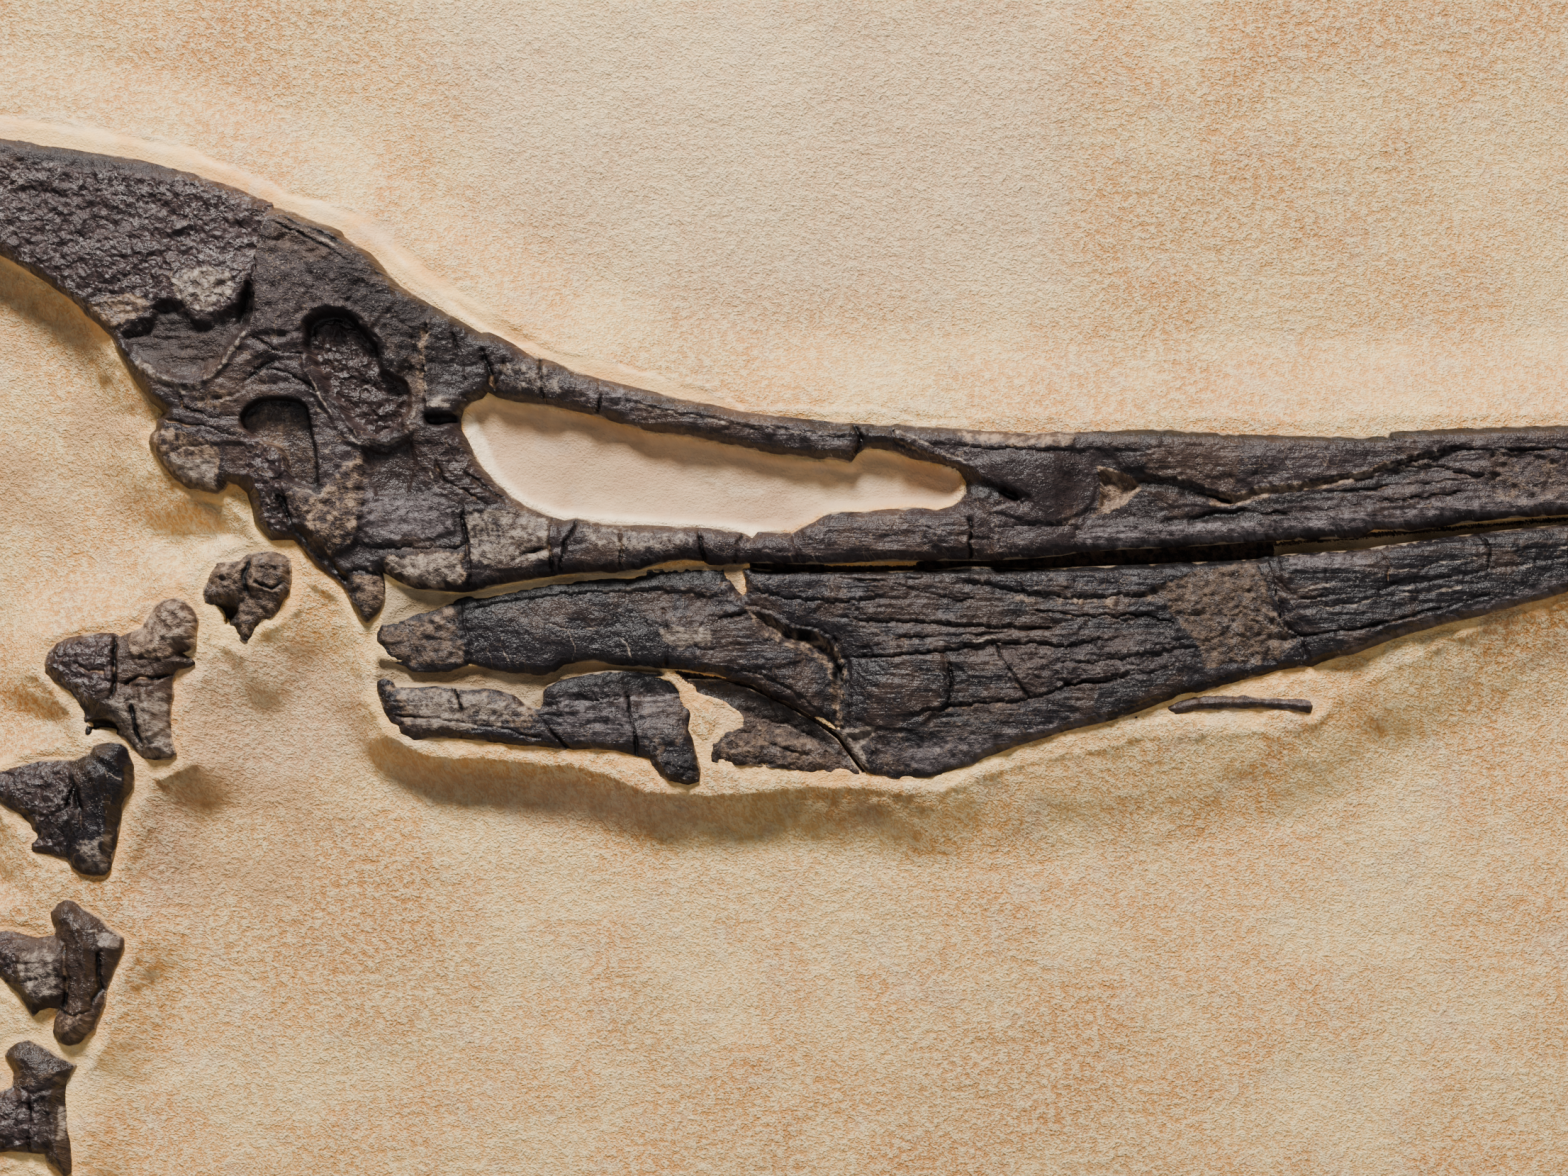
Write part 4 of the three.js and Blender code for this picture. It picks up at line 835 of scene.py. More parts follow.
lowerJaw = {
    "fine": 2.1, "reach": 24, "edge": (8, 2.6), "seed": 7,
    "crowns": [
        (560, 910, 1), (640, 900, 2), (760, 860, 2), (760, 900, 4), (900, 850, 2), (930, 900, 5),
        (1020, 930, 4), (1100, 960, 5), (1110, 850, 3), (1200, 850, 3), (1180, 920, 1), (1280, 960, 5),
        (1340, 830, 3), (1380, 890, 4), (1450, 980, 5), (1270, 1070, 2), (1600, 820, 4), (1560, 940, 5),
        (1750, 850, 6), (1800, 930, 4), (1900, 800, 6), (1900, 860, 7), (2050, 820, 6), (2200, 790, 5),
        (2600, 725, 4), (3000, 652, 3),
    ],
    "marks": [
        ("rough", 0.7, 16, [(531, 880), (650, 850), (656, 945), (540, 935)]),
        ("rust", 0.8, 14, [(531, 890), (600, 866), (650, 850), (654, 940), (560, 938)]),
        ("grey", 0.7, 16, [(540, 890), (600, 870), (650, 856), (654, 930), (560, 934)]),
        ("crack", 1.6, 3, [(650, 846), (656, 880), (664, 910), (662, 940)]),
        ("scar", 0.3, 3, [(658, 850), (663, 884), (670, 914), (668, 936)]),
        ("ledge", 1.2, 4, [(664, 858), (720, 846), (820, 834), (930, 830), (1000, 838)]),
        ("dark", 1, 8, [(630, 850), (700, 826), (840, 804), (1020, 794), (1030, 820), (900, 830),
                        (800, 840), (700, 860), (650, 872)]),
        ("pit", 1.6, 10, [(630, 850), (700, 826), (840, 804), (1020, 794), (1030, 820), (900, 830),
                          (800, 840), (700, 860), (650, 872)]),
        ("tan", 0.5, 12, [(556, 890), (590, 872), (640, 858), (650, 876), (600, 890), (566, 906)]),
        ("smooth", 0.8, 16, [(668, 850), (930, 826), (940, 938), (668, 936)]),
        # the shadowed top edge under the skull
        ("pit", 2.5, 8, [(1056, 796), (1200, 800), (1400, 794), (1620, 790), (1800, 780), (1800, 794),
                         (1620, 804), (1400, 812), (1200, 812), (1060, 812)]),
        ("dark", 0.95, 6, [(1056, 796), (1200, 800), (1400, 794), (1620, 790), (1800, 780), (1800, 792),
                           (1620, 802), (1400, 812), (1200, 812), (1060, 810)]),
        ("pale", 0.6, 3, [(1812, 783), (1900, 776), (1960, 768), (2030, 760), (2030, 764), (1960, 773),
                          (1900, 781), (1812, 788)]),
        ("scar", 0.3, 1.7, [(690, 860), (712, 884), (704, 912), (722, 940)]),
        ("scar", 0.3, 1.6, [(712, 884), (760, 878), (802, 890), (850, 884)]),
        ("scar", 0.3, 1.6, [(760, 878), (772, 852), (790, 836)]),
        ("scar", 0.3, 1.6, [(802, 890), (812, 916), (806, 934)]),
        ("scar", 0.3, 1.6, [(850, 884), (862, 860), (890, 844)]),
        ("scar", 0.3, 1.6, [(850, 884), (884, 906), (892, 936)]),
        ("pale", 0.85, 12, [(930, 886), (960, 882), (1005, 888), (1002, 912), (960, 918), (934, 908)]),
        ("grey", 0.5, 16, [(900, 860), (1000, 860), (1020, 930), (940, 936)]),
        ("crack", 1.2, 2.2, [(935, 862), (942, 896), (938, 940)]),
        ("crack", 1.6, 3, [(1005, 880), (1024, 872), (1050, 862)]),
        # the broken hollow where the branch meets the front
        ("pit", 5.5, 14, [(1050, 856), (1090, 868), (1120, 886), (1156, 893), (1178, 912), (1192, 945),
                          (1190, 990), (1192, 1036), (1180, 1032), (1172, 990), (1168, 950), (1148, 926),
                          (1110, 912), (1074, 892)]),
        ("tan", 0.55, 10, [(1046, 852), (1090, 866), (1120, 884), (1158, 890), (1182, 910), (1196, 945),
                           (1192, 1036), (1178, 1032), (1168, 950), (1146, 930), (1106, 914), (1068, 892)]),
        ("rough", 1, 12, [(1046, 852), (1120, 884), (1182, 910), (1196, 945), (1192, 1036), (1168, 1000),
                          (1146, 930), (1068, 892)]),
        ("pit", 4.5, 8, [(1122, 886), (1148, 890), (1146, 906), (1126, 904)]),
        ("dark", 0.95, 7, [(1120, 884), (1150, 888), (1150, 906), (1124, 906)]),
        ("pit", 4.5, 8, [(1176, 932), (1192, 940), (1190, 968), (1176, 960)]),
        ("dark", 0.95, 7, [(1174, 930), (1192, 938), (1190, 968), (1174, 962)]),
        ("ledge", 2.2, 3.5, [(1190, 1036), (1188, 990), (1190, 945), (1178, 908), (1156, 890), (1120, 882),
                             (1090, 864), (1050, 852)]),
        ("pale", 1, 7, [(1184, 1028), (1236, 1024), (1232, 1040), (1214, 1052), (1228, 1088), (1208, 1070),
                        (1190, 1046)]),
        ("rough", 1, 8, [(1184, 1028), (1236, 1024), (1240, 1048), (1226, 1092), (1208, 1070)]),
        ("pit", 2.4, 8, [(1190, 1034), (1232, 1030), (1232, 1050), (1220, 1082), (1206, 1060)]),
        ("ledge", 1.4, 3, [(1020, 940), (1080, 950), (1130, 980), (1180, 1020)]),
        ("striated", 0.8, 14, [(940, 880), (1060, 880), (1160, 940), (1190, 1030), (1100, 985),
                               (960, 940)]),
        # plates of the front
        ("plate", 1.2, 6, [(1198, 930), (1330, 922), (1336, 990), (1290, 1030), (1236, 1026),
                           (1200, 1010)]),
        ("smooth", 1, 10, [(1198, 930), (1330, 922), (1336, 990), (1290, 1030), (1200, 1010)]),
        ("crack", 1.4, 2.6, [(1180, 815), (1240, 820), (1300, 815)]),
        ("ledge", 1.4, 3, [(1060, 830), (1120, 842), (1190, 848), (1240, 838)]),
        ("crack", 1.4, 2.4, [(1240, 820), (1300, 835), (1350, 850), (1375, 845)]),
        ("ledge", 1.6, 3, [(1360, 815), (1430, 830), (1500, 840), (1560, 840), (1620, 834)]),
        ("scar", 0.4, 2, [(1360, 819), (1430, 834), (1500, 844), (1560, 844)]),
        ("ledge", 1.8, 3, [(1200, 870), (1240, 873), (1330, 878), (1450, 882)]),
        ("crack", 1.6, 2.6, [(1250, 905), (1320, 898), (1400, 895), (1460, 885), (1486, 886)]),
        ("ledge", 2, 3, [(1200, 926), (1330, 916), (1400, 903), (1500, 908), (1560, 900)]),
        ("scar", 0.3, 2.2, [(1330, 912), (1400, 900), (1500, 904)]),
        ("ledge", 1.8, 3.4, [(1280, 1005), (1350, 990), (1450, 985), (1500, 965), (1580, 950)]),
        ("rough", 0.8, 10, [(1270, 1000), (1350, 985), (1450, 978), (1500, 960), (1500, 980), (1440, 1000),
                            (1340, 1010)]),
        ("tan", 0.5, 8, [(1290, 1006), (1350, 994), (1440, 990), (1440, 998), (1350, 1004)]),
        ("crack", 1.2, 2.4, [(1335, 922), (1342, 960), (1338, 992)]),
        ("crack", 1, 2.2, [(1400, 905), (1420, 940), (1450, 984)]),
        ("scar", 0.5, 2, [(1260, 944), (1300, 950), (1330, 946)]),
        ("grey", 0.3, 14, [(1340, 920), (1480, 916), (1520, 950), (1440, 976), (1350, 984)]),
        ("hammered", 0.45, 20, [(1400, 910), (1560, 890), (1660, 900), (1690, 940), (1560, 964),
                                (1420, 990)]),
        ("rough", 0.6, 20, [(1400, 910), (1560, 890), (1660, 900), (1690, 940), (1560, 964), (1420, 990)]),
        ("tan", 0.5, 10, [(1420, 836), (1540, 842), (1640, 830), (1640, 850), (1540, 858), (1430, 850)]),
        ("grey", 0.45, 14, [(1200, 826), (1340, 842), (1340, 872), (1200, 862)]),
        ("rust", 0.35, 14, [(1240, 1030), (1340, 1010), (1440, 1000), (1380, 1060), (1280, 1092),
                            (1240, 1080)]),
        ("rough", 0.6, 14, [(1240, 1036), (1340, 1014), (1440, 1004), (1380, 1060), (1280, 1092)]),
        ("striated", 1, 16, [(1180, 806), (1640, 800), (1660, 980), (1440, 1050), (1240, 1040),
                             (1200, 900)]),
        ("crack", 1, 2.2, [(1500, 965), (1560, 962), (1640, 945)]),
        ("scar", 0.2, 2.6, [(1590, 965), (1640, 945), (1690, 925)]),
        ("ledge", 1.2, 3, [(1500, 1022), (1580, 1000), (1660, 976), (1740, 952)]),
        ("crack", 1, 2.2, [(1460, 860), (1520, 872), (1600, 868), (1660, 880)]),
        ("ledge", 1.2, 3, [(1480, 930), (1540, 934), (1620, 920), (1690, 910)]),
        # rusty grainy patch and the plates beyond it
        ("rust", 0.95, 14, [(1700, 802), (1770, 792), (1790, 830), (1800, 880), (1830, 900), (1800, 935),
                            (1700, 942), (1690, 910), (1660, 880), (1640, 850), (1600, 842), (1650, 820)]),
        ("rough", 1, 14, [(1700, 802), (1770, 792), (1790, 830), (1800, 880), (1830, 900), (1800, 935),
                          (1700, 942), (1690, 910), (1660, 880), (1640, 850), (1600, 842), (1650, 820)]),
        ("plate", -1.1, 6, [(1700, 802), (1770, 792), (1790, 830), (1800, 880), (1830, 900), (1800, 935),
                            (1700, 942), (1690, 910), (1660, 880), (1640, 850), (1600, 842), (1650, 820)]),
        ("ledge", 2.2, 3, [(1838, 932), (1832, 900), (1806, 876), (1798, 830), (1790, 788)]),
        ("plate", 1, 5, [(1806, 788), (1930, 780), (2212, 742), (2212, 834), (2040, 880), (1850, 932),
                         (1836, 900), (1810, 874)]),
        ("grey", 0.9, 12, [(1815, 784), (1930, 776), (1930, 800), (1820, 806)]),
        ("grey", 0.9, 12, [(1230, 1050), (1420, 1034), (1560, 1000), (1560, 1030), (1440, 1074),
                           (1300, 1090)]),
        ("grey", 0.9, 12, [(1880, 920), (2000, 878), (2212, 812), (2212, 840), (2040, 884), (1900, 930)]),
        ("scar", 0.5, 2.4, [(1815, 835), (1900, 820), (2000, 800), (2060, 790), (2212, 770)]),
        ("scar", 0.5, 2.4, [(1815, 862), (1910, 853), (1960, 840), (2060, 830), (2150, 812)]),
        ("crack", 1.2, 2.4, [(1820, 900), (1900, 890), (2000, 866), (2100, 840)]),
        ("ledge", 1.2, 3, [(2212, 790), (2100, 806), (2000, 824), (1920, 838), (1830, 846)]),
        ("crack", 1, 2.2, [(1950, 776), (1960, 800), (1956, 822)]),
        ("crack", 1, 2.2, [(2090, 752), (2100, 780), (2096, 806)]),
        ("rust", 0.3, 16, [(2060, 760), (2212, 745), (2212, 780), (2080, 800)]),
        ("striated", 0.9, 16, [(1806, 786), (2212, 742), (3050, 646), (2212, 834), (1850, 932)]),
    ],
}

rearFragment = {
    "fine": 1.9, "reach": 18, "edge": (8, 2.4), "seed": 11,
    "crowns": [(560, 990, 2), (650, 1000, 4), (840, 1000, 4), (930, 970, -1), (930, 1060, 3), (970, 1090, 4)],
    "marks": [
        ("tan", 0.6, 20, [(540, 962), (690, 972), (760, 1000), (750, 1030), (640, 1032), (560, 1020)]),
        ("pale", 0.75, 16, [(560, 972), (680, 978), (740, 1000), (700, 1030), (590, 1028)]),
        ("grey", 0.7, 20, [(780, 966), (880, 960), (956, 970), (960, 1030), (880, 1050), (790, 1044)]),
        ("smooth", 0.6, 14, [(560, 970), (740, 990), (760, 1040), (600, 1038)]),
        ("crack", 1.4, 2.6, [(748, 996), (768, 1022), (786, 1040), (802, 1058)]),
        ("dark", 0.7, 16, [(770, 966), (860, 946), (950, 954), (964, 978), (880, 976), (800, 982)]),
        ("grey", 0.6, 14, [(786, 1012), (850, 1006), (884, 1020), (850, 1040), (790, 1038)]),
        ("ledge", 1.4, 3, [(960, 982), (880, 986), (800, 992), (764, 1002)]),
        ("crack", 1, 2.2, [(884, 980), (892, 1020), (900, 1064)]),
        ("crack", 1, 2, [(560, 1010), (620, 1016), (700, 1028), (760, 1040)]),
        ("crack", 0.9, 2, [(640, 972), (652, 1000), (648, 1042)]),
        ("rust", 0.5, 14, [(900, 990), (972, 990), (972, 1040), (930, 1070), (896, 1050)]),
        ("rough", 1, 10, [(924, 1068), (980, 1064), (990, 1106), (940, 1104)]),
        ("plate", 1.4, 8, [(926, 1070), (982, 1066), (990, 1104), (940, 1102)]),
        ("striated", 0.7, 14, [(540, 970), (760, 1000), (960, 980), (960, 1050), (700, 1050), (550, 1020)]),
    ],
}

frontFragment = {
    "fine": 1.8, "reach": 14, "edge": (10, 2), "seed": 13,
    "crowns": [(990, 972, -4), (1090, 1005, -4.5), (1150, 1036, -3), (1040, 1055, 2), (1140, 1066, 1.5),
               (1190, 1078, 0)],
    "marks": [
        ("dark", 0.8, 12, [(966, 956), (1060, 972), (1150, 1018), (1206, 1078), (1180, 1066), (1110, 1022),
                           (1050, 1006), (980, 984)]),
        ("rust", 0.6, 14, [(1010, 1044), (1080, 1020), (1150, 1046), (1200, 1084), (1110, 1086),
                           (1014, 1078)]),
        ("rough", 1, 14, [(1000, 990), (1110, 1010), (1200, 1080), (1110, 1088), (1006, 1078)]),
        ("crack", 1.2, 2.4, [(1050, 1030), (1090, 1050), (1150, 1070)]),
        ("ledge", 1.6, 3, [(1180, 1062), (1110, 1024), (1050, 1012)]),
    ],
}

hyoidRod = {
    "fine": 1.5, "reach": 10, "edge": (8, 3), "seed": 17,
    "crowns": [(1600, 1010, -1), (1720, 990, 2.4), (1840, 996, 3)],
    "marks": [
        ("striated", 1, 6, [(1580, 1020), (1700, 980), (1860, 984), (1860, 1010), (1700, 1006)]),
        ("crack", 0.8, 2, [(1690, 982), (1696, 1004)]),
        ("grey", 0.6, 8, [(1780, 984), (1850, 988), (1850, 1000), (1780, 996)]),
    ],
}

# Neck vertebrae, from the head down

axisVertebra = {
    "fine": 1.8, "reach": 14, "edge": (12, 4), "seed": 19,
    "crowns": [(320, 815, 7), (375, 810, 6), (345, 880, 4), (315, 870, -1), (380, 850, 4)],
    "marks": [
        ("rough", 1, 12, [(280, 780), (420, 770), (420, 860), (350, 910), (290, 890)]),
        ("rust", 0.9, 18, [(280, 790), (410, 770), (415, 840), (370, 890), (300, 850)]),
        ("tan", 0.55, 14, [(300, 790), (350, 780), (360, 810), (320, 830)]),
        ("pit", 6, 9, [(293, 854), (311, 852), (337, 854), (337, 866), (328, 877), (320, 889), (308, 893),
                       (302, 883)]),
        ("dark", 0.9, 8, [(293, 852), (337, 852), (336, 868), (320, 890), (304, 890)]),
        ("groove", 2.2, 5, [(352, 786), (346, 812), (352, 846), (344, 862)]),
        ("ridge", 2, 5, [(300, 812), (330, 806), (344, 800)]),
        ("ridge", 1.8, 5, [(362, 790), (396, 796), (402, 826), (386, 856)]),
        ("crack", 1.2, 2.4, [(360, 820), (384, 830), (404, 818)]),
        ("tan", 0.6, 10, [(336, 878), (364, 876), (352, 906), (336, 900)]),
    ],
}
vertebraThree = {
    "fine": 2, "reach": 18, "edge": (14, 4), "seed": 23,
    "crowns": [(100, 940, 5), (240, 880, 8), (180, 940, 6), (210, 1000, 8), (160, 990, 8), (145, 1026, 1),
               (220, 1050, 6)],
    "marks": [
        ("hammered", 1, 10, [(55, 960), (70, 910), (160, 892), (160, 960), (110, 1006), (90, 976)]),
        ("grey", 0.15, 14, [(60, 950), (80, 910), (158, 896), (156, 960), (110, 1000)]),
        ("crack", 1.8, 3, [(164, 894), (160, 920), (166, 960), (158, 984)]),
        ("tan", 0.85, 14, [(180, 900), (214, 862), (250, 844), (278, 872), (274, 914), (240, 930),
                           (190, 930)]),
        ("pale", 0.5, 14, [(210, 876), (250, 850), (274, 880), (260, 910), (216, 916)]),
        ("rough", 1, 12, [(170, 900), (214, 862), (250, 844), (280, 876), (270, 936), (200, 944)]),
        ("plate", 1.4, 8, [(182, 900), (214, 862), (250, 846), (276, 874), (272, 912), (236, 928),
                           (190, 926)]),
        ("crack", 1.8, 3, [(176, 966), (200, 955), (216, 958), (240, 950)]),
        ("pale", 0.8, 14, [(158, 982), (240, 974), (240, 1040), (244, 1068), (200, 1070), (176, 1040),
                           (150, 1012)]),
        ("ridge", 2, 7, [(200, 966), (212, 1000), (216, 1050)]),
        ("groove", 2, 5, [(186, 990), (190, 1020), (200, 1052)]),
        ("pit", 5, 8, [(120, 1018), (132, 1012), (147, 1013), (164, 1018), (170, 1028), (160, 1040),
                       (128, 1040)]),
        ("dark", 0.9, 8, [(118, 1018), (147, 1012), (168, 1020), (168, 1036), (124, 1042)]),
        ("crack", 1.2, 2.4, [(100, 930), (126, 950), (150, 948)]),
        ("dark", 0.5, 10, [(118, 996), (160, 976), (176, 1000), (160, 1014), (124, 1012)]),
    ],
}
vertebraFour = {
    "fine": 2, "reach": 18, "edge": (14, 4), "seed": 29,
    "crowns": [(0, 1106, 4), (40, 1105, 5), (140, 1090, 10), (140, 1140, 8), (70, 1190, 5), (135, 1215, 7)],
    "marks": [
        ("hammered", 0.9, 12, [(-20, 1080), (100, 1068), (104, 1140), (90, 1210), (40, 1204), (40, 1160),
                               (-20, 1130)]),
        ("grey", 0.12, 16, [(-20, 1085), (96, 1074), (100, 1140), (30, 1146), (-20, 1126)]),
        ("smooth", 0.8, 10, [(104, 1060), (180, 1050), (190, 1110), (170, 1160), (110, 1160)]),
        ("ridge", 2.4, 7, [(112, 1070), (140, 1096), (150, 1150), (146, 1200)]),
        ("ridge", 1.6, 5, [(140, 1060), (176, 1080), (180, 1110)]),
        ("groove", 2, 5, [(108, 1110), (118, 1150), (112, 1190)]),
        ("scar", 0.3, 1.6, [(120, 1080), (150, 1086), (176, 1100)]),
        ("scar", 0.3, 1.6, [(150, 1086), (158, 1120), (150, 1160)]),
        ("scar", 0.3, 1.6, [(126, 1130), (158, 1130), (170, 1142)]),
        ("pale", 0.7, 14, [(112, 1184), (164, 1176), (154, 1236), (116, 1232)]),
        ("crack", 1.4, 2.6, [(98, 1074), (104, 1110), (96, 1150), (100, 1210)]),
        ("dark", 0.5, 12, [(50, 1160), (104, 1150), (108, 1180), (60, 1184)]),
    ],
}
vertebraFive = {
    "fine": 2, "reach": 18, "edge": (14, 4), "seed": 31,
    "crowns": [(0, 1345, 4), (60, 1370, 7), (100, 1290, 8), (110, 1340, 9), (150, 1340, 7), (100, 1450, 10),
               (100, 1400, 7)],
    "marks": [
        ("pale", 0.7, 16, [(24, 1343), (79, 1340), (82, 1400), (48, 1418), (26, 1390)]),
        ("rough", 0.9, 14, [(20, 1330), (84, 1330), (90, 1400), (40, 1430)]),
        ("plate", 1.2, 8, [(26, 1346), (78, 1342), (80, 1400), (48, 1414), (28, 1388)]),
        ("pale", 0.9, 8, [(136, 1312), (170, 1320), (168, 1340), (140, 1334)]),
        ("ridge", 2.4, 6, [(108, 1300), (122, 1350), (120, 1400), (112, 1440)]),
        ("groove", 2, 5, [(92, 1330), (98, 1380), (92, 1424)]),
        ("groove", 1.6, 4, [(140, 1340), (140, 1390), (130, 1430)]),
        ("smooth", 0.7, 10, [(84, 1276), (150, 1306), (160, 1370), (110, 1400), (90, 1340)]),
        ("tan", 0.5, 14, [(76, 1430), (136, 1430), (120, 1466), (84, 1474)]),
        ("crack", 1.2, 2.4, [(84, 1426), (104, 1432), (134, 1424)]),
        ("hammered", 0.8, 12, [(-50, 1310), (20, 1316), (24, 1390), (-50, 1370)]),
        ("scar", 0.3, 1.8, [(100, 1290), (118, 1310), (150, 1316)]),
    ],
}
vertebraSix = {
    "fine": 2, "reach": 18, "edge": (14, 4), "seed": 37,
    "crowns": [(50, 1500, 8), (40, 1580, 6), (84, 1640, 8), (-30, 1600, 6)],
    "marks": [
        ("smooth", 0.9, 12, [(6, 1490), (40, 1468), (108, 1500), (90, 1530), (20, 1530)]),
        ("rust", 0.4, 16, [(6, 1490), (40, 1468), (108, 1500), (90, 1530), (20, 1530)]),
        ("groove", 2.4, 5, [(14, 1534), (50, 1540), (92, 1532)]),
        ("ridge", 2, 6, [(70, 1540), (76, 1590), (84, 1640)]),
        ("rough", 0.9, 12, [(84, 1540), (98, 1600), (84, 1612), (74, 1560)]),
        ("pale", 0.6, 8, [(82, 1556), (94, 1560), (94, 1606), (82, 1606)]),
        ("hammered", 0.8, 12, [(-56, 1540), (50, 1530), (60, 1626), (-50, 1620)]),
        ("crack", 1.2, 2.4, [(40, 1540), (46, 1580), (40, 1624)]),
    ],
}
vertebraSeven = {
    "fine": 2.6, "reach": 18, "edge": (14, 4), "seed": 43,
    "crowns": [(25, 1695, 8), (15, 1775, 6), (60, 1835, 8), (-55, 1795, 6)],
    "marks": [
        ("groove", 2.4, 5, [(-10, 1728), (26, 1734), (68, 1726)]),
        ("ridge", 2, 6, [(46, 1740), (52, 1790), (60, 1836)]),
        ("rough", 0.9, 12, [(-60, 1740), (30, 1730), (40, 1816), (-60, 1800)]),
        ("pale", 0.5, 12, [(50, 1750), (70, 1760), (72, 1800), (56, 1800)]),
    ],
}

# Columns between which the photograph looks, with a margin, and so the cells are fine
seenLow = -40
seenHigh = 2252

# Relief on every bone: size in pixels and height in millimetres
boneRelief = {
    "plates": (30, 1.3), "seams": 0.35, "folds": (34, 1.5), "grain": (16, 0.5), "roughGrain": (11, 1.2),
    "dents": (17, 2.0), "streaks": (7, 0.4), "wornEdge": 9,
}


def makeBone(name, node, settings, material, slotName):
    loops = loopsOf(node)
    points = np.vstack(loops)
    low = points.min(axis=0)
    high = points.max(axis=0)
    fine = settings["fine"] * 1
    columns = gridLines(low[0] - 1, high[0], fine, 4 * fine, seenLow, seenHigh)
    rows = np.arange(low[1] - 1, high[1] + fine, fine)
    sheet = flatSheet(columns, rows)
    trimTo(sheet, loops)
    closeBelow(sheet)
    edgeWidth, edgeDrop = settings["edge"]

    def heightAt(u, v, looks):
        seed = settings["seed"]
        depth = np.maximum(inset(loops, u, v), 0)
        fall = np.exp(-((depth / edgeWidth) ** 1.3))
        crown = between(settings["crowns"], u, v, settings["reach"])
        height = bankTop + edgeDrop * 0.25 + crown * (1 - 0.72 * fall) - edgeDrop * 0.5 * fall
        shapeMarks(settings["marks"], u, v, height, looks)
        smooth = looks["smooth"]
        size, rise = boneRelief["plates"]
        bentU = u + 9 * waves(u, v, 30, seed)
        bentV = v + 6 * waves(u, v, 24, seed + 1)
        _, border, value = cells(bentU, bentV, size, seed, 2.4)
        height += rise * (value - 0.5) * ramp(0, 0.12, border) * (1 - 0.7 * smooth)
        opened = ramp(-0.2, 0.4, waves(u, v, 90, seed + 2))
        height -= boneRelief["seams"] * (1 - ramp(0.01, 0.07, border)) * opened
        size, rise = boneRelief["folds"]
        folds = 1 - np.abs(roughness(u + 10 * waves(u, v, 40, seed + 13), v, size, seed + 12, 3, 1.5))
        height += rise * (folds - 0.75) * (1 - 0.75 * smooth)
        size, rise = boneRelief["grain"]
        height += rise * roughness(u, v, size, seed + 3, 3) * (1 - 0.6 * smooth)
        size, rise = boneRelief["roughGrain"]
        height += looks["rough"] * rise * roughness(u, v, size, seed + 4, 3)
        size, rise = boneRelief["dents"]
        bentU = u + 4 * waves(u, v, 16, seed + 7)
        bentV = v + 4 * waves(u, v, 16, seed + 8)
        dent, _, _ = cells(bentU, bentV, size, seed + 5)
        height += looks["hammered"] * rise * (dent - 0.45) * (0.7 + 0.4 * waves(u, v, 40, seed + 10))
        size, rise = boneRelief["streaks"]
        height += looks["striated"] * rise * roughness(u + 0.25 * v, v - 0.02 * u, size, seed + 6, 2, 9.0)
        looks["edge"][:] = 1 - ramp(0, boneRelief["wornEdge"], depth)
        return height

    finishPiece(sheet, name, node, bedFloor, heightAt, material)


bones = [
    ("skullRelief", "skull", skull, darkBone, "dark_bone"),
    ("lowerJawRelief", "lower_jaw", lowerJaw, plumBone, "dark_bone"),
    ("rearFragmentRelief", "rear_jaw_fragment", rearFragment, plumBone, "dark_bone"),
    ("frontFragmentRelief", "front_jaw_fragment", frontFragment, brownBone, "dark_bone"),
    ("hyoidRelief", "hyoid_rod", hyoidRod, darkBone, "dark_bone"),
    ("axisRelief", "axis_vertebra", axisVertebra, brownBone, "brown_bone"),
    ("neckThreeRelief", "neck_vertebra_3", vertebraThree, brownBone, "brown_bone"),
    ("neckFourRelief", "neck_vertebra_4", vertebraFour, plumBone, "brown_bone"),
    ("neckFiveRelief", "neck_vertebra_5", vertebraFive, brownBone, "brown_bone"),
    ("neckSixRelief", "neck_vertebra_6", vertebraSix, brownBone, "brown_bone"),
    ("neckSevenRelief", "neck_vertebra_7", vertebraSeven, brownBone, "brown_bone"),
]
for bone in bones:
    makeBone(*bone)

# The slab: rough chalk, with a smoother bank worked up round the bones

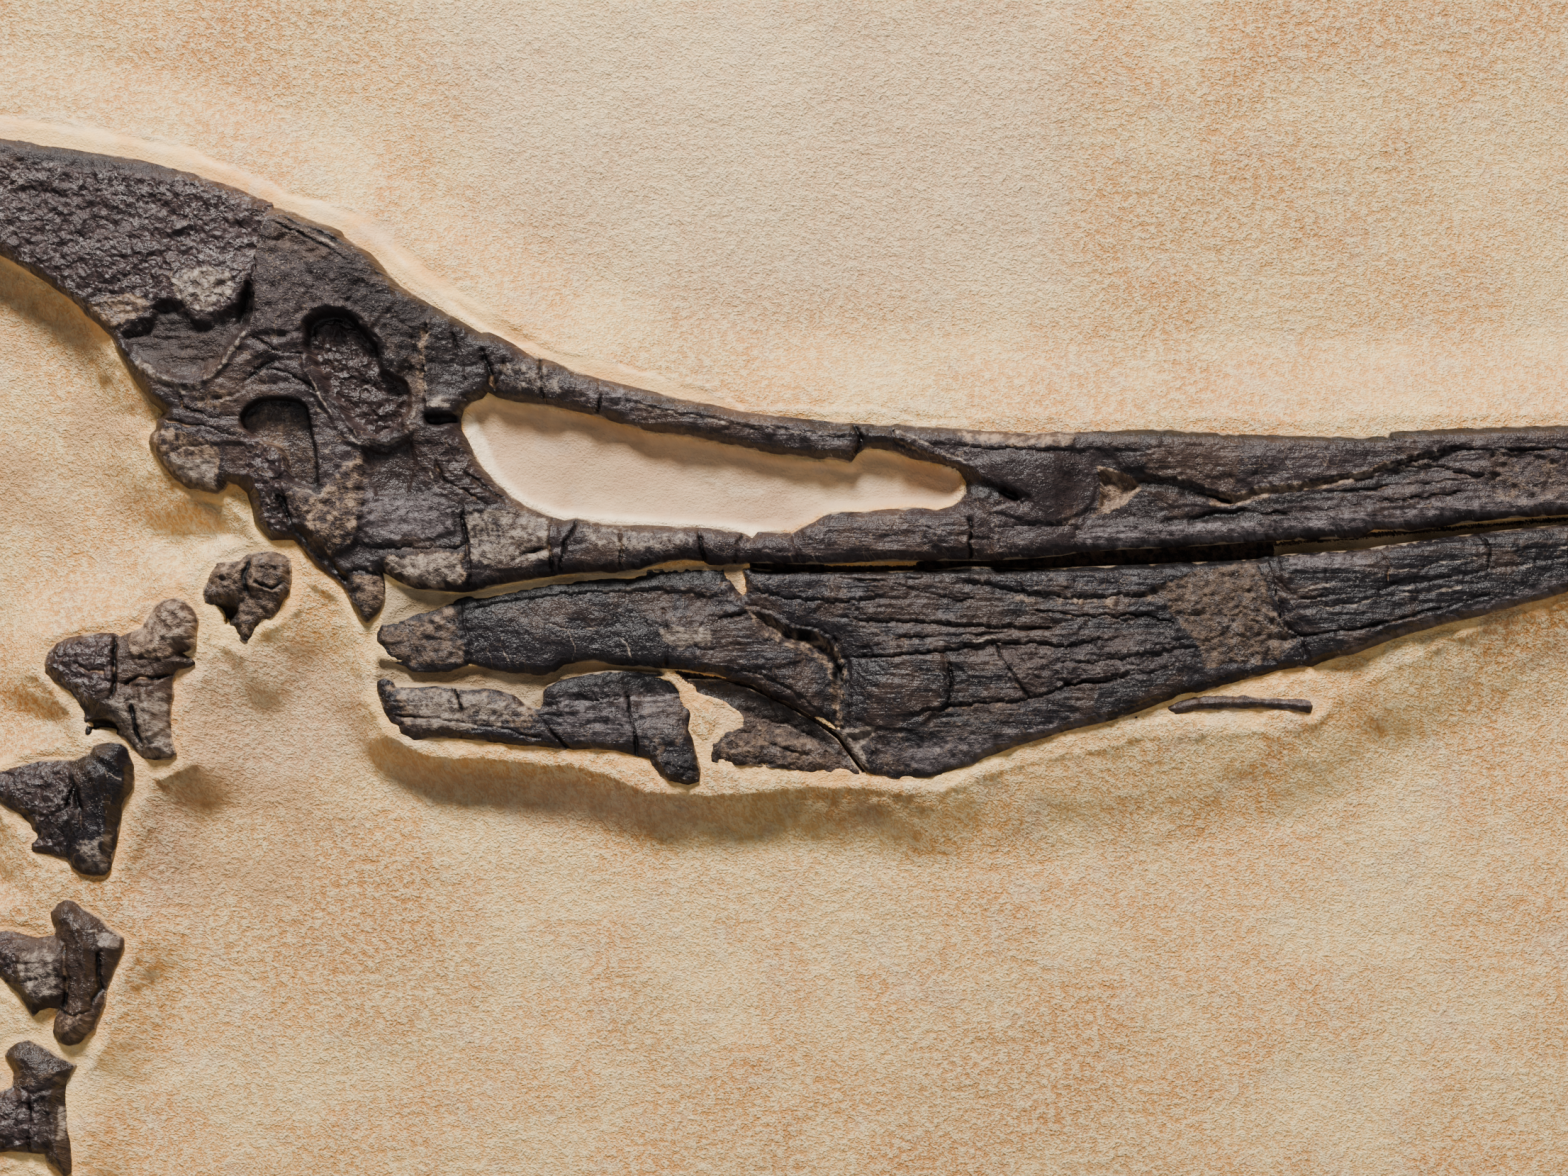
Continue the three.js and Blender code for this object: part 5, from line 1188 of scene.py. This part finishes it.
slab = {
    "fine": 12.0, "coarse": 24.0, "fineBand": 46, "plain": 38.6, "seed": 51,
    # the filling of the nose opening lies lower than the bank, and its middle a little lower still
    "noseDepth": 5.2, "noseSag": 0.9,
    # the smooth band along the bones, and the groove round the edge of the slab
    "smoothBand": 17, "rimWidth": 14, "rimDrop": 4,
    # the bed under the bones lies this much lower than the bank
    "bedDrop": 9,
    # crest of the bank, with the width of its slope
    "bank": [
        (-925, 190, 60), (-905, 158, 80), (-800, 136, 110), (-600, 132, 120), (-400, 138, 120),
        (-200, 152, 120), (0, 170, 120), (110, 190, 120), (205, 205, 120), (300, 232, 120), (390, 268, 120),
        (480, 300, 120), (540, 345, 120), (610, 402, 120), (700, 446, 120), (790, 490, 120),
        (900, 524, 120), (1060, 562, 120), (1260, 578, 120), (1490, 590, 120), (1800, 592, 120),
        (2212, 580, 120), (2600, 570, 120), (3000, 570, 110), (3210, 576, 80), (3285, 590, 60),
        (3284, 616, 60), (3220, 634, 80), (3090, 652, 90), (3050, 668, 100), (2900, 692, 120),
        (2700, 730, 130), (2400, 802, 140), (2212, 852, 140), (2041, 905, 140), (1900, 985, 130),
        (1865, 1020, 120), (1820, 1030, 150), (1640, 1040, 170), (1470, 1072, 150), (1310, 1120, 120),
        (1200, 1112, 90), (1040, 1114, 76), (990, 1126, 74), (920, 1116, 74), (800, 1080, 76),
        (600, 1064, 66), (540, 1034, 60), (510, 990, 54), (508, 905, 60), (470, 850, 90), (430, 826, 110),
        (424, 862, 120), (372, 900, 120), (346, 928, 110), (306, 912, 110), (298, 930, 110),
        (266, 1000, 100), (270, 1084, 90), (212, 1100, 84), (192, 1180, 84), (172, 1252, 80),
        (196, 1330, 80), (170, 1400, 80), (154, 1460, 80), (126, 1510, 80), (120, 1650, 80),
        (104, 1700, 42), (94, 1850, 42), (66, 1874, 42), (-30, 1840, 42), (-100, 1800, 36), (-98, 1760, 36),
        (-44, 1720, 36), (-36, 1670, 36), (-76, 1605, 36), (-72, 1560, 36), (-30, 1500, 36),
        (-30, 1410, 36), (-68, 1364, 36), (-66, 1330, 36), (-20, 1296, 36), (50, 1270, 70), (24, 1180, 80),
        (-32, 1128, 36), (-36, 1104, 36), (40, 1058, 70), (96, 1040, 70), (96, 1004, 70), (42, 950, 80),
        (58, 900, 80), (180, 872, 80), (226, 826, 80), (266, 818, 36), (290, 784, 36), (362, 768, 70),
        (344, 742, 70), (326, 716, 80), (300, 712, 90), (256, 702, 100), (218, 664, 100), (203, 640, 90),
        (201, 612, 80), (214, 590, 70), (200, 560, 66), (184, 528, 66), (166, 498, 66), (154, 468, 66),
        (120, 436, 66), (66, 390, 66), (2, 352, 66), (-100, 318, 62), (-300, 276, 60), (-600, 246, 46),
        (-800, 222, 48), (-890, 210, 40),
    ],
    "marks": [
        ("pale", 0.45, 160, [(600, -20), (1500, -20), (1500, 420), (1000, 440), (700, 300)]),
        ("tan", 1, 70, [(-20, 470), (90, 500), (190, 600), (200, 700), (120, 760), (-20, 780)]),
        ("tan", 0.8, 70, [(300, 930), (460, 900), (520, 1100), (420, 1300), (240, 1300), (260, 1050)]),
        # painted shade below the crest, under the jaw, under the lobe and beside the neck
        ("shade", 0.75, 50, [(-900, 216), (-300, 286), (0, 362), (60, 402), (112, 446), (160, 500),
                             (150, 540), (90, 500), (40, 470), (0, 440), (-300, 350), (-900, 270)]),
        ("shade", 0.5, 60, [(530, 1030), (600, 1070), (800, 1088), (920, 1120), (1040, 1120), (1200, 1116),
                            (1320, 1120), (1300, 1170), (1040, 1190), (900, 1190), (700, 1150),
                            (560, 1110)]),
        ("shade", 0.55, 16, [(262, 690), (300, 708), (352, 742), (382, 776), (352, 790), (312, 744),
                             (270, 712)]),
        ("shade", 0.4, 40, [(190, 1090), (270, 1080), (280, 1110), (230, 1150), (190, 1240), (170, 1250)]),
        ("shade", 0.35, 30, [(96, 990), (112, 1040), (60, 1050), (60, 980)]),
        # the smooth lip along the crest, and the rubble above the beak
        ("smooth", 1, 12, [(-900, 120), (-400, 124), (0, 160), (126, 176), (260, 204), (401, 268),
                           (520, 300), (600, 370), (760, 486), (900, 520), (1050, 566), (1050, 590),
                           (900, 560), (700, 480), (500, 350), (380, 300), (200, 240), (-400, 180),
                           (-900, 200)]),
        ("rough", 1, 10, [(1200, 560), (1400, 556), (1500, 570), (1700, 560), (2000, 566), (2230, 560),
                          (2230, 604), (1960, 622), (1500, 612), (1200, 604)]),
        # broken lip of the bank above the skull
        ("ledge", 1.6, 5, [(126, 178), (99, 166), (79, 160), (0, 162), (-120, 156)]),
        ("ledge", 1.6, 5, [(257, 205), (245, 199), (221, 189), (180, 185)]),
        ("ledge", 1.6, 5, [(401, 271), (380, 257), (356, 247), (328, 235), (300, 229), (277, 217)]),
        ("ledge", 1.6, 5, [(522, 300), (494, 288), (463, 286), (419, 280)]),
        ("ledge", 1.6, 5, [(575, 375), (540, 340)]),
        ("ledge", 1.8, 5, [(749, 489), (714, 477), (690, 465), (662, 449), (627, 418)]),
        ("ledge", 1.6, 5, [(943, 533), (910, 525), (882, 517), (865, 504)]),
        ("ledge", 1.6, 5, [(1376, 591), (1298, 597), (1270, 582), (1240, 578), (1061, 572), (1041, 572),
                           (1004, 547)]),
        # filling of the nose opening, with its raised lip painted pale as a highlight, and painted shade
        # along its top rim
        ("pale", 1, 10, [(652, 590), (668, 584), (686, 630), (712, 676), (750, 706), (800, 722), (900, 730),
                         (1050, 740), (1100, 746), (1060, 762), (850, 744), (790, 738), (740, 720),
                         (700, 690), (664, 634)]),
        ("ridge", 2.4, 9, [(662, 596), (676, 634), (704, 680), (744, 712), (800, 729), (900, 736),
                           (1050, 746)]),
        ("shade", 0.6, 14, [(690, 556), (800, 578), (950, 612), (1060, 632), (1200, 652), (1216, 640),
                            (1290, 648), (1360, 676), (1350, 690), (1280, 664), (1210, 662), (1060, 650),
                            (900, 622), (780, 594), (700, 574)]),
        ("ridge", 1.4, 12, [(1110, 652), (1160, 664), (1206, 690)]),
        ("ledge", 0.9, 4, [(985, 672), (1035, 692), (1085, 692)]),
        ("tan", 0.6, 12, [(870, 620), (905, 622), (905, 640), (876, 642)]),
        ("tan", 0.6, 12, [(862, 668), (896, 670), (896, 692), (866, 690)]),
        ("tan", 0.6, 12, [(1038, 706), (1070, 706), (1072, 726), (1042, 726)]),
        # smooth and pinkish places near the bones
        ("grey", 0.5, 40, [(250, 930), (420, 900), (500, 960), (520, 1060), (360, 1130), (270, 1100)]),
        ("grey", 0.5, 40, [(540, 1080), (800, 1100), (1000, 1140), (960, 1180), (700, 1160), (540, 1120)]),
        ("grey", 0.45, 40, [(200, 1130), (270, 1120), (260, 1260), (200, 1300)]),
        ("scar", 0.5, 2.5, [(205, 1360), (225, 1352)]),
        ("ledge", 1, 3, [(180, 868), (192, 876), (205, 880)]),
        ("pit", 1.4, 24, [(1740, 958), (1840, 950), (1850, 978), (1760, 976)]),
        # deep, with painted shade and painted shadow, between the skull and the jaw, and between the jaw and
        # its broken far side
        ("shade", 1, 6, [(536, 880), (544, 826), (560, 826), (640, 838), (700, 829), (800, 812), (900, 804),
                         (1000, 796), (1050, 796), (1040, 840), (1020, 808), (900, 812), (700, 840),
                         (600, 872), (540, 896)]),
        ("pit", 5, 8, [(1056, 790), (1200, 788), (1500, 778), (1780, 758), (1960, 744), (2230, 720),
                       (2230, 746), (1960, 776), (1780, 800), (1500, 810), (1060, 814)]),
        ("dark", 1, 4, [(1056, 788), (1150, 786), (1166, 799), (1290, 799), (1304, 782), (1500, 776),
                        (1780, 756), (1800, 758), (1800, 790), (1780, 800), (1500, 812), (1060, 816)]),
        ("shade", 1, 6, [(1790, 764), (1960, 748), (2230, 726), (2230, 742), (1960, 770), (1790, 788)]),
        ("dark", 0.7, 5, [(1800, 764), (1960, 748), (2230, 727), (2230, 734), (1960, 757), (1800, 772)]),
        ("pit", 3, 8, [(530, 930), (640, 940), (780, 930), (930, 938), (968, 990), (940, 956), (780, 976),
                       (740, 996), (640, 974), (530, 966)]),
        ("shade", 1, 8, [(530, 925), (640, 940), (780, 930), (930, 938), (968, 990), (940, 956), (790, 966),
                         (764, 1000), (740, 996), (640, 974), (530, 966)]),
        ("pit", 4, 8, [(940, 944), (1060, 962), (1186, 1034), (1226, 1096), (1200, 1080), (1100, 1010),
                       (972, 964)]),
        ("dark", 1, 6, [(950, 946), (1060, 962), (1186, 1034), (1226, 1096), (1200, 1080), (1100, 1010),
                        (966, 962)]),
    ],
}


def refineNear(sheet, loopSets, band):
    # Smaller cells close to the bones and in the nose opening
    middles = np.array([edge.verts[0].co[:2] for edge in sheet.edges])
    u = middles[:, 0]
    v = middles[:, 1]
    chosen = np.zeros(u.shape, bool)
    seen = (u > seenLow) & (u < seenHigh)
    for loops in loopSets:
        points = np.vstack(loops)
        low = points.min(axis=0) - band
        high = points.max(axis=0) + band
        near = np.flatnonzero(seen & (u > low[0]) & (u < high[0]) & (v > low[1]) & (v < high[1]))
        depth = inset(loops, u[near], v[near])
        chosen[near] |= (depth > -band) & (depth < 0.3 * band)
    edges = [edge for edge, wanted in zip(sheet.edges, chosen) if wanted]
    bmesh.ops.subdivide_edges(sheet, edges=edges, cuts=2, use_grid_fill=True)


def makeSlab(name, node, settings, material):
    corner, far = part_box(node)
    leftColumn, lowRow = toPixels(corner[0], corner[1])
    rightColumn, topRow = toPixels(far[0], far[1])
    fine = settings["fine"] * 1
    columns = gridLines(leftColumn, rightColumn, fine, settings["coarse"], seenLow, seenHigh)
    columns[-1] = rightColumn
    rows = gridLines(topRow, lowRow, fine, settings["coarse"], topRow, 1700)
    rows[-1] = lowRow
    sheet = flatSheet(columns, rows)
    boneLoops = [loopsOf(bone[1]) for bone in bones]
    refineNear(sheet, boneLoops, settings["fineBand"])
    closeBelow(sheet)
    bank = settings["bank"]
    crest = [(column, row) for column, row, _ in bank]
    seed = settings["seed"]

    def heightAt(u, v, looks):
        wanderU = u + 10 * roughness(u, v, 70, seed, 3)
        wanderV = v + 10 * roughness(u, v, 70, seed + 1, 3)
        outside = np.maximum(-inset([crest], wanderU, wanderV), 0)
        share = np.clip(outside / between(bank, u, v, 40), 0, 1)
        drop = 0.5 * share**0.6 + 0.5 * ramp(0, 1, share)
        plain = settings["plain"] + 0.7 * waves(u, v, 300, seed + 2) + 0.9 * roughness(u, v, 110, seed + 3, 3)
        height = bankTop + (plain - bankTop) * drop
        toBone = np.full(u.shape, 1e9)
        under = np.full(u.shape, -1e9)
        for loops in boneLoops:
            depth = inset(loops, u, v)
            toBone = np.minimum(toBone, np.abs(depth))
            under = np.maximum(under, depth)
        nose = inset([boneLoops[0][1]], u, v)
        fill = ramp(0, 16, nose)
        height -= settings["noseDepth"] * fill + settings["noseSag"] * ramp(8, 40, nose)
        knobs = np.abs(roughness(u, v, 30, seed + 15, 2))
        height += fill * (1.1 * roughness(u, v, 80, seed + 14, 3) + 0.7 * knobs)
        shapeMarks(settings["marks"], u, v, height, looks)
        near = 0.85 * ramp(settings["smoothBand"], 5, toBone + 12 * waves(u, v, 34, seed + 4))
        near = np.maximum(near, looks["smooth"])
        near = np.maximum(near, 0.4 * ramp(0.3, 0.7, waves(u, v, 150, seed + 5)) * ramp(100, 30, toBone))
        near *= 1 - 0.9 * ramp(0.2, 0.6, looks["rough"])
        near = np.maximum(near, ramp(0, 10, nose))
        # painted shade over the whole nose filling
        looks["shade"][:] = np.maximum(looks["shade"], 0.3 * ramp(0, 10, nose))
        looks["grey"][:] = np.maximum(looks["grey"], 0.75 * ramp(0, 10, nose))
        looks["smooth"][:] = near
        loose = 1 - near
        height += (0.15 + 0.95 * loose) * 0.75 * roughness(u, v, 16, seed + 6, 3)
        height += loose * 0.7 * np.maximum(roughness(u, v, 26, seed + 7, 2), 0)
        height += near * 0.45 * roughness(u, v, 44, seed + 8, 2)
        rim = np.minimum(np.minimum(u - leftColumn, rightColumn - u), np.minimum(v - topRow, lowRow - v))
        height -= settings["rimDrop"] * np.exp(-((rim / settings["rimWidth"]) ** 2))
        height -= settings["bedDrop"] * ramp(7, 14, under)
        return height

    finishPiece(sheet, name, node, 0.0, heightAt, material)


makeSlab("slabRelief", "matrix_slab", slab, matrix)

# Floor, light and camera

floorMaterial = bpy.data.materials.new("floor")
floorMaterial.use_nodes = True
floorMaterial.node_tree.nodes["Principled BSDF"].inputs["Base Color"].default_value = tone(226, 224, 220)
bpy.ops.mesh.primitive_plane_add(size=12, location=(0, 0, -0.0005))
floor = bpy.context.object
floor.name = "floor"
floor.data.materials.append(floorMaterial)


def lamp(name, place, target, width, power, colour):
    light = bpy.data.lights.new(name, "AREA")
    light.shape = "DISK"
    light.size = width
    light.energy = power
    light.color = colour
    holder = bpy.data.objects.new(name, light)
    bpy.context.scene.collection.objects.link(holder)
    holder.location = place
    away = np.array(place) - np.array(target)
    across = math.hypot(away[0], away[1])
    holder.rotation_euler = (math.atan2(across, away[2]), 0, math.atan2(away[0], -away[1]))


lamp("keyLight", (-0.45, 2.6, 1.7), (0, 0, 0.05), 0.7, 272, (1.0, 0.97, 0.94))
lamp("fillLight", (0.4, -1.6, 2.4), (0, 0, 0.05), 2.0, 10, (0.95, 0.97, 1.0))

world = bpy.data.worlds.new("room")
world.use_nodes = True
world.node_tree.nodes["Background"].inputs["Color"].default_value = (0.9, 0.93, 1.0, 1)
world.node_tree.nodes["Background"].inputs["Strength"].default_value = 0.22
bpy.context.scene.world = world

photoCentre = (1106, 829.5)
photoWidth = 2212 * pixel
meanHeight = 0.058  # the height at which the view is as wide as the photograph
lens = bpy.data.cameras.new("camera")
lens.sensor_width = 36
lens.lens = 100
camera = bpy.data.objects.new("camera", lens)
bpy.context.scene.collection.objects.link(camera)
cameraX, cameraY = toMetres(*photoCentre)
camera.location = (cameraX, cameraY, meanHeight + photoWidth * lens.lens / lens.sensor_width)
bpy.context.scene.camera = camera

bpy.context.view_layer.update()
